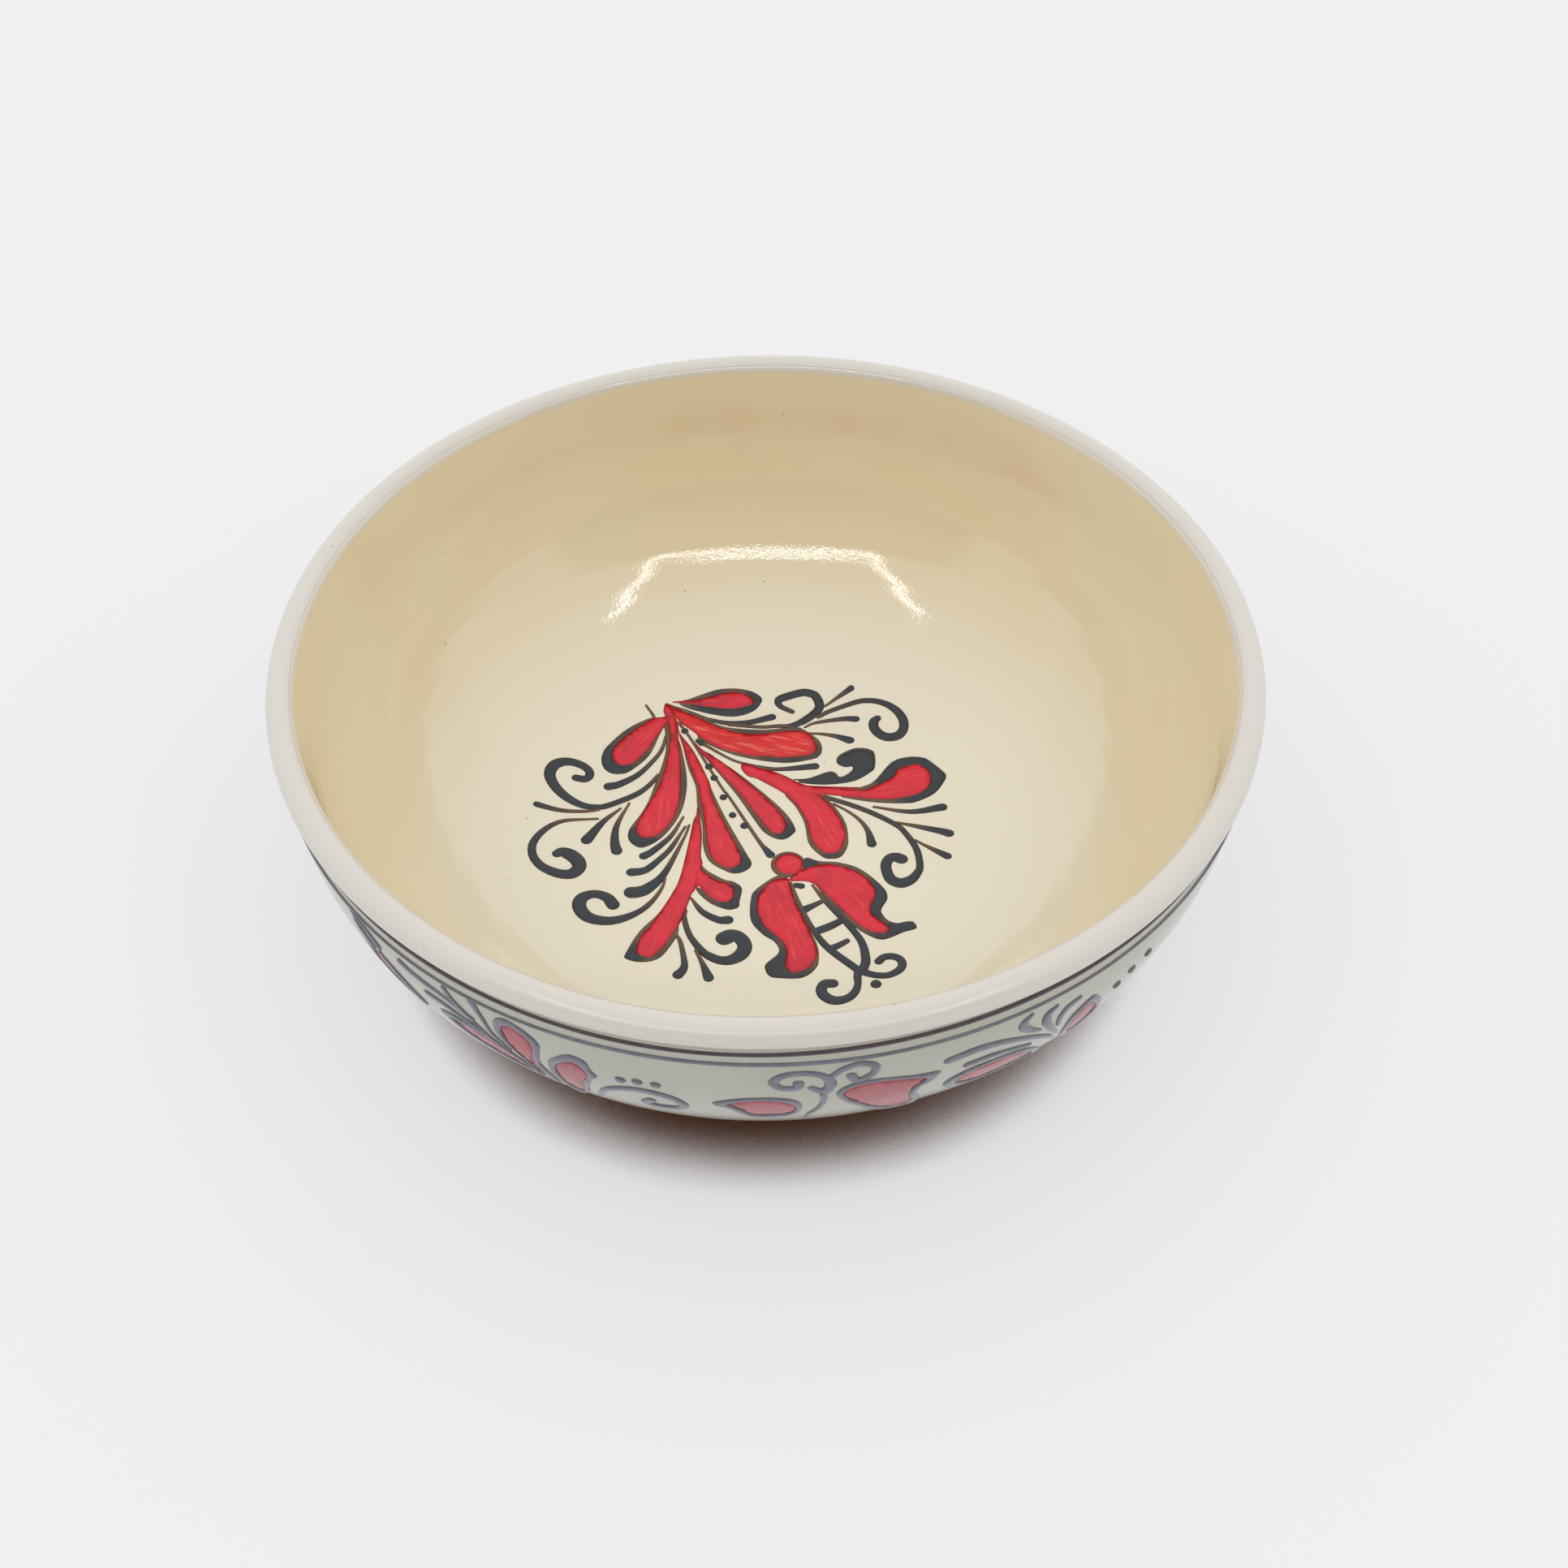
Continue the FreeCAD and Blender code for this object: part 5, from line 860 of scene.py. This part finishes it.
def make_liner_material():
    """Cream glaze: paler on the floor, warmer up the wall, turning white under the rim."""
    material, tree, shader = new_material("cream_liner_glaze", 0.07, coat_weight=0.4, bump=2.2e-5,
                                          bump_scale=1200.0)
    height = height_of(tree)
    colour = blend(tree, ramp(tree, height, 0.014, 0.040), floor_cream, wall_cream)
    drift = maths(tree, "MULTIPLY", ramp(tree, noise(tree, 14.0), 0.42, 0.68), 0.55)
    pooled = maths(tree, "MULTIPLY", drift, ramp(tree, height, 0.018, 0.045))
    colour = blend(tree, pooled, colour, honey)
    colour = blend(tree, ramp(tree, height, 0.0862, 0.0888), colour, band_white)
    marks = maths(tree, "MULTIPLY", specks(tree, 300.0, 0.10), 0.55)
    colour = blend(tree, marks, colour, speck_brown)
    tree.links.new(colour, shader.inputs["Base Color"])
    return material


def make_band_material():
    material, tree, shader = new_material("white_rim_slip", 0.2, bump=4e-5, bump_scale=500.0)
    height = height_of(tree)
    ragged = maths(tree, "MULTIPLY_ADD", noise(tree, 120.0, 3.0), 0.0016, height)
    # the white slip's ragged lower edge, beige below it as painted shade under the roll
    lower = ramp(tree, ragged, 0.0868, 0.0850)
    colour = blend(tree, lower, band_white, srgb(196, 172, 158))
    worn = maths(tree, "MULTIPLY", ramp(tree, noise(tree, 90.0, 4.0), 0.62, 0.75), 0.25)
    colour = blend(tree, worn, colour, srgb(214, 202, 180))
    marks = maths(tree, "MULTIPLY", specks(tree, 300.0, 0.10), 0.5)
    colour = blend(tree, marks, colour, speck_brown)
    tree.links.new(colour, shader.inputs["Base Color"])
    return material


def make_outer_glaze_material():
    material, tree, shader = new_material("outer_glaze_with_painted_shade", 0.14, bump=2e-5, bump_scale=900.0)
    # Ivory-grey glaze, its colours set darker as painted shade over the whole outer wall.
    tint = ramp(tree, noise(tree, 22.0), 0.35, 0.7)
    colour = blend(tree, tint, srgb(184, 183, 170), srgb(178, 176, 161))
    height = height_of(tree)
    # beige just under the rim roll: painted shade of the rim
    colour = blend(tree, ramp(tree, height, 0.0815, 0.0835), colour, srgb(180, 168, 150))
    glazed = maths(tree, "MULTIPLY_ADD", noise(tree, 40.0, 3.0), 0.008, height)
    # darker towards the foot: painted shade where the wall turns under; lower still the glaze stops on bare
    # clay
    colour = blend(tree, ramp(tree, height, 0.060, 0.036), colour, srgb(158, 152, 138))
    colour = blend(tree, ramp(tree, glazed, 0.0335, 0.0315), colour, srgb(128, 84, 62))
    marks = maths(tree, "MULTIPLY", specks(tree, 300.0, 0.10), 0.5)
    colour = blend(tree, marks, colour, speck_brown)
    tree.links.new(colour, shader.inputs["Base Color"])
    return material


def make_clay_material():
    material, tree, shader = new_material("bare_clay", 0.75, bump=1.2e-4, bump_scale=900.0, bump_detail=6.0)
    patches = ramp(tree, noise(tree, 60.0, 5.0), 0.35, 0.65)
    colour = blend(tree, patches, srgb(190, 132, 98), srgb(172, 116, 84))
    tree.links.new(colour, shader.inputs["Base Color"])
    return material


def make_slip_material(name, dark, brown, thin_edge, thick_edge):
    """Trailed slip: blue-black where thick, brown where the line runs thin, darkest brown along its edges."""
    material, tree, shader = new_material(name, 0.16, bump=3e-5, bump_scale=700.0)
    shader.inputs["IOR"].default_value = 1.5
    ragged = maths(tree, "MULTIPLY_ADD", noise(tree, 500.0, 2.0), 0.5, vertex_value(tree, "line_width"))
    thickness = ramp(tree, ragged, thin_edge + 0.25, thick_edge + 0.25)
    tone = blend(tree, ramp(tree, noise(tree, 250.0, 3.0), 0.3, 0.7), dark, tuple(c * 1.35 for c in dark))
    colour = blend(tree, thickness, brown, tone)
    fringe = maths(tree, "MULTIPLY", ramp(tree, vertex_value(tree, "edge"), 0.72, 0.98), 0.65)
    colour = blend(tree, fringe, colour, tuple(c * 0.45 for c in brown))
    tree.links.new(colour, shader.inputs["Base Color"])
    return material


def brush_noise(tree, detail):
    """Noise drawn out along the brush strokes of a painted patch."""
    vector = tree.nodes.new("ShaderNodeCombineXYZ")
    tree.links.new(maths(tree, "MULTIPLY", vertex_value(tree, "along"), 0.10), vector.inputs[0])
    tree.links.new(maths(tree, "MULTIPLY", vertex_value(tree, "across"), 0.9), vector.inputs[1])
    node = add(tree, "ShaderNodeTexNoise", Scale=1.0, Detail=detail)
    tree.links.new(vector.outputs[0], node.inputs["Vector"])
    return node.outputs["Fac"]


def make_red_material(name, red, bright, deep, streaks_from, streak_share):
    """Brushed red: streaks along the stroke where it is thick in the middle, deeper towards its edge."""
    material, tree, shader = new_material(name, 0.2, bump=5e-5, bump_scale=500.0, bump_detail=4.0)
    shader.inputs["IOR"].default_value = 1.5
    gap = vertex_value(tree, "edge")
    mottled = blend(tree, ramp(tree, noise(tree, 130.0, 3.0), 0.35, 0.7), red, tuple(c * 0.8 for c in red))
    streaks = ramp(tree, brush_noise(tree, 4.0), streaks_from, streaks_from + 0.2)
    middle = maths(tree, "MULTIPLY", streaks, ramp(tree, gap, 0.8, 2.4))
    colour = blend(tree, maths(tree, "MULTIPLY", middle, streak_share), mottled, bright)
    colour = blend(tree, maths(tree, "MULTIPLY", ramp(tree, gap, 0.9, 0.0), 0.5), colour, deep)
    tree.links.new(colour, shader.inputs["Base Color"])
    return material


liner_material = make_liner_material()
band_material = make_band_material()
outer_material = make_outer_glaze_material()
clay_material = make_clay_material()
inner_slip = make_slip_material("dark_slip", srgb(34, 40, 47), srgb(104, 74, 54), 0.9, 2.1)
# The outside's slip colours are set darker than their own, as painted shade of the outer wall.
outer_slip = make_slip_material("outer_dark_slip", srgb(104, 106, 117), srgb(110, 96, 96), 0.5, 1.3)
upper_line_slip = make_slip_material("upper_line_slip", srgb(66, 50, 60), srgb(92, 66, 66), 0.3, 0.9)
inner_red = make_red_material("red_paint", srgb(220, 24, 50), srgb(240, 80, 66), srgb(120, 24, 36), 0.52, 0.6)
worn_red = make_red_material("red_paint_worn", srgb(222, 22, 34), srgb(244, 128, 112), srgb(130, 24, 30),
                             0.47, 0.7)
# the outside's red is set darker than its own, as painted shade of the outer wall
outer_red = make_red_material("outer_red", srgb(172, 68, 82), srgb(188, 96, 98), srgb(120, 58, 70), 0.5, 0.6)


# ---- the pot ----------------------------------------------------------------------
def shell(profile_at):
    """A closed profile of a coat: its surface, then back along its underside."""
    return profile_at(0) + list(reversed(profile_at(coat)))


def build_pot():
    vertices, faces = lathe(shell(inside_profile), ripple=0.02)
    clean(add_piece("liner", vertices, faces, liner_material, ["inner_glaze"]))
    vertices, faces = lathe(shell(band_profile))
    clean(add_piece("rim_band", vertices, faces, band_material, ["white_rim_band"]))
    vertices, faces = lathe(shell(outside_profile))
    clean(add_piece("outside", vertices, faces, outer_material, ["outer_glaze"]))
    for node in ("clay_body", "foot_ring"):
        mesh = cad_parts[node].data
        mesh.materials.clear()
        mesh.materials.append(clay_material)


def ring_line(name, level, width, material):
    """A trailed line right round the outer wall, with the small waver of a hand-held trailer."""
    steps, across = 480, 7
    vertices, thin, edge = [], [], []
    for step in range(steps):
        turn = 2 * math.pi * step / steps
        waver = 0.18 * math.sin(3 * turn + level) + 0.1 * math.sin(7 * turn + 2 * level)
        swell = width * (1 + 0.12 * math.sin(5 * turn + level) + 0.06 * math.sin(17 * turn))
        place = on_wall(turn)
        for share in np.linspace(-1, 1, across):
            vertices.append(place(0, level + waver + share * swell / 2, line_height * dome(share)))
            thin.append(swell)
            edge.append(abs(share))
        for share in (1, -1):
            vertices.append(place(0, level + waver + share * swell / 2, sunk))
            thin.append(swell)
            edge.append(1.0)
    faces = ring_faces(steps, across + 2)
    clean(add_piece(name, vertices, faces, material, [name],
                    values={"line_width": thin, "edge": edge}))


def add_ornament(name, mesh_parts, material, replaced):
    vertices, faces, values = joined(mesh_parts)
    clean(add_piece(name, vertices, faces, material, replaced, values=values))


def circle(x, y, radius):
    """Eleven points round a circle, which the smooth closed curve then runs through."""
    angles = np.linspace(0, 2 * math.pi, 11, endpoint=False)
    return [(x + radius * math.cos(a), y + radius * math.sin(a)) for a in angles]


def build_inside_ornament():
    fillings = {name: filling for name, (outline, filling) in inner_leaves.items()}
    fillings["right_branch"] = inner_branch
    fillings["tulip_knob"] = circle(*tulip_knob)
    outlines = {name: outline for name, (outline, filling) in inner_leaves.items()}
    outlines["tulip_knob"] = circle(*tulip_knob_ring)
    patches = {name: closed_curve(filling, 160) for name, filling in fillings.items()}
    for i, (name, filling) in enumerate(fillings.items()):
        material = worn_red if name == "upper_right_leaf" else inner_red
        pad = filled(filling, on_floor, paint_height + i * overlap_step)
        add_ornament(name + "_red", [pad], material, [name + "_red"])
    for name, outline in outlines.items():
        others = [patch for other, patch in patches.items() if other != name]
        border = outline_bead(outline, fillings[name], on_floor, others)
        add_ornament(name + "_outline", [border], inner_slip, [name + "_outline"])
    paint = list(patches.values())
    vertices, faces, values = filled(inner_curl, on_floor, line_height, paint, grid=1.0, soft_edge=1.4)
    fringe = np.clip(1 - np.array(values["edge"]) / 1.2, 0, 1)
    values = {"line_width": [2.5] * len(vertices), "edge": list(fringe)}
    add_ornament("right_curl", [(vertices, faces, values)], inner_slip, ["right_curl"])
    for name, strokes in inner_strokes.items():
        beads = [bead(stroke, on_floor, paint) for stroke in strokes]
        add_ornament(name, beads, inner_slip, [name])
    for name, dots in inner_dots.items():
        drops = [dot(x, y, radius, on_floor, paint) for x, y, radius in dots]
        add_ornament(name, drops, inner_slip, [name])


def round_the_wall(points):
    """(azimuth, height, ...) as millimetres round the wall."""
    return [(math.radians(p[0]) * wall_reference_radius,) + tuple(p[1:]) for p in points]


def build_outside_ornament():
    kinds = {"outer_leaf_reds": [], "outer_leaf_outlines": [], "outer_scrolls": [], "outer_twigs": [],
             "outer_dots": []}
    for repeat in range(motif_repeats):
        place = on_wall(2 * math.pi * repeat / motif_repeats)
        for group in outer_groups.values():
            leaves = [(round_the_wall(o), round_the_wall(f)) for o, f in group.get("leaves", [])]
            patches = [closed_curve(filling, 160) for outline, filling in leaves]
            for i, (outline, filling) in enumerate(leaves):
                others = patches[:i] + patches[i + 1:]
                kinds["outer_leaf_reds"].append(filled(filling, place, paint_height + i * overlap_step))
                kinds["outer_leaf_outlines"].append(outline_bead(outline, filling, place, others))
            for kind in ("scrolls", "twigs"):
                lines = [round_the_wall(stroke) for stroke in group.get(kind, [])]
                kinds["outer_" + kind] += [bead(line, place, patches) for line in lines]
            for x, y, radius in round_the_wall(group.get("dots", [])):
                kinds["outer_dots"].append(dot(x, y, radius, place, patches))
    for name, parts in kinds.items():
        red = name == "outer_leaf_reds"
        add_ornament(name, parts, outer_red if red else outer_slip,
                     [name])


# ---- studio --------------------------------------------------------------------------
tent_level = 0.97
opening_level = 0.5
paper_white = (0.31, 0.31, 0.318)
# The paper's glow is painted light, not a lamp, lifting the bowl's soft shadow; near the bowl it fades and
# the paper browns as a painted contact shadow.
painted_paper_glow = 0.565
shade_reach = 0.26 * rim_radius * unit      # how near the bowl must be to dim the paper's glow
horizon_level = 0.12         # the opening is darkest low down, where the room behind the camera shows
opening_width = 1.7          # how far the opening reaches sideways, as a share of its distance
lamp_front = 0.97            # the front lamp's distance, as a share of the ceiling's height
lamp_radiance = 12.0


def make_paper_material():
    """White paper with a painted glow of its own, no lamp, which fills the bowl's soft shadow; close under
    the bowl the glow dies away and the paper turns brown, a painted contact shadow.
    """
    material, tree, shader = new_material("studio_paper", 1.0)
    shader.inputs["Specular IOR Level"].default_value = 0.0
    openness = add(tree, "ShaderNodeAmbientOcclusion", Distance=shade_reach)
    openness.samples = 16
    lit = ramp(tree, openness.outputs["AO"], 0.38, 0.72)
    # brown close under the bowl: painted contact shadow
    tree.links.new(blend(tree, lit, srgb(104, 70, 54), paper_white), shader.inputs["Base Color"])
    shader.inputs["Emission Color"].default_value = (1.0, 1.0, 1.0, 1.0)
    tree.links.new(maths(tree, "MULTIPLY", lit, painted_paper_glow), shader.inputs["Emission Strength"])
    return material


def build_studio():
    bpy.ops.mesh.primitive_plane_add(size=8.0, location=(0, 0, 0))
    floor = bpy.context.object
    floor.name = "studio_floor"
    floor.data.materials.append(make_paper_material())
    floor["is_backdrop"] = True

    world = bpy.data.worlds.new("studio_light")
    bpy.context.scene.world = world
    world.use_nodes = True
    tree = world.node_tree
    # a white tent all round, open and dark in front, below the lamps
    split = tree.nodes.new("ShaderNodeSeparateXYZ")
    tree.links.new(tree.nodes.new("ShaderNodeTexCoord").outputs["Generated"], split.inputs[0])
    front = maths(tree, "MULTIPLY", split.outputs["Y"], -1.0)
    below_lamps = maths(tree, "SUBTRACT", maths(tree, "MULTIPLY", front, 1 / lamp_front), split.outputs["Z"])
    sideways = maths(tree, "ABSOLUTE", split.outputs["X"])
    in_front = maths(tree, "SUBTRACT", maths(tree, "MULTIPLY", front, opening_width), sideways)
    opening = maths(tree, "MULTIPLY", ramp(tree, below_lamps, 0.0, 0.06), ramp(tree, in_front, 0.0, 0.25))
    rising = ramp(tree, split.outputs["Z"], 0.0, 0.45)
    room = maths(tree, "MULTIPLY_ADD", rising, opening_level - horizon_level, horizon_level)
    dimming = maths(tree, "MULTIPLY", opening, maths(tree, "SUBTRACT", tent_level, room))
    level = maths(tree, "SUBTRACT", tent_level, dimming)
    background = tree.nodes["Background"]
    background.inputs["Color"].default_value = (1.0, 1.0, 1.0, 1.0)
    tree.links.new(level, background.inputs["Strength"])


def strip_lamp(name, start, end, width):
    """A thin straight lamp overhead, facing the bowl."""
    start, end = Vector(start), Vector(end)
    light = bpy.data.lights.new(name, "AREA")
    light.shape = "RECTANGLE"
    light.size = (end - start).length
    light.size_y = width
    light.energy = lamp_radiance * math.pi * light.size * light.size_y
    lamp = bpy.data.objects.new(name, light)
    bpy.context.scene.collection.objects.link(lamp)
    middle = (start + end) / 2
    x_axis = (end - start).normalized()
    z_axis = middle - x_axis * middle.dot(x_axis)
    z_axis.normalize()
    y_axis = z_axis.cross(x_axis)
    turned = Matrix((x_axis, y_axis, z_axis)).transposed().to_4x4()
    lamp.matrix_world = Matrix.Translation(middle) @ turned


def build_lamps():
    """Three tubes round the front of the tent's ceiling, seen as a soft U in the far wall's glaze."""
    ceiling = 2.4
    front = -lamp_front * ceiling
    back = -0.27 * ceiling
    front_half_span = 0.66 * ceiling
    back_half_span = 0.6 * ceiling
    front_left, front_right = (-front_half_span, front, ceiling), (front_half_span, front, ceiling)
    strip_lamp("front_tube", front_left, front_right, 0.030 * ceiling)
    strip_lamp("left_tube", front_left, (-back_half_span, back, ceiling), 0.028 * ceiling)
    strip_lamp("right_tube", front_right, (back_half_span, back, ceiling), 0.028 * ceiling)


def build_camera():
    """Above the front, looking down at about 42 degrees, as the bowl is usually photographed."""
    elevation = math.radians(42.463)
    distance = 4.599 * rim_radius
    roll = math.radians(-0.876)
    yaw = math.radians(0.416)
    pitch = math.radians(-3.336)
    focal_widths = 1.449275          # focal length, in picture widths
    data = bpy.data.cameras.new("camera")
    data.sensor_width = 36.0
    data.lens = 36.0 * focal_widths
    data.clip_start = 0.01
    camera = bpy.data.objects.new("camera", data)
    bpy.context.scene.collection.objects.link(camera)
    bpy.context.scene.camera = camera
    place = Vector((0, -distance * math.cos(elevation), roll_centre[1] + distance * math.sin(elevation)))
    ahead = Vector((0, math.cos(elevation), -math.sin(elevation)))
    right = ahead.cross(Vector((0, 0, 1))).normalized()
    up = right.cross(ahead)
    view = (ahead * math.cos(yaw) * math.cos(pitch) + right * math.sin(yaw) * math.cos(pitch)
            + up * math.sin(pitch)).normalized()
    side = view.cross(up).normalized()
    over = side.cross(view)
    x_axis = side * math.cos(roll) + over * math.sin(roll)
    y_axis = over * math.cos(roll) - side * math.sin(roll)
    turned = Matrix((x_axis, y_axis, -view)).transposed().to_4x4()
    camera.matrix_world = Matrix.Translation(place * unit) @ turned


build_pot()
ring_line("upper_ring_line", upper_line_level, upper_line_width, upper_line_slip)
ring_line("lower_ring_line", lower_line_level, lower_line_width, outer_slip)
build_inside_ornament()
build_outside_ornament()
build_studio()
build_lamps()
build_camera()
bpy.context.scene.view_settings.view_transform = "Standard"

visual_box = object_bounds()
boxes = {"cad": cad_box, "visual": visual_box}
{name: [list(corner) for corner in box] for name, box in boxes.items()}
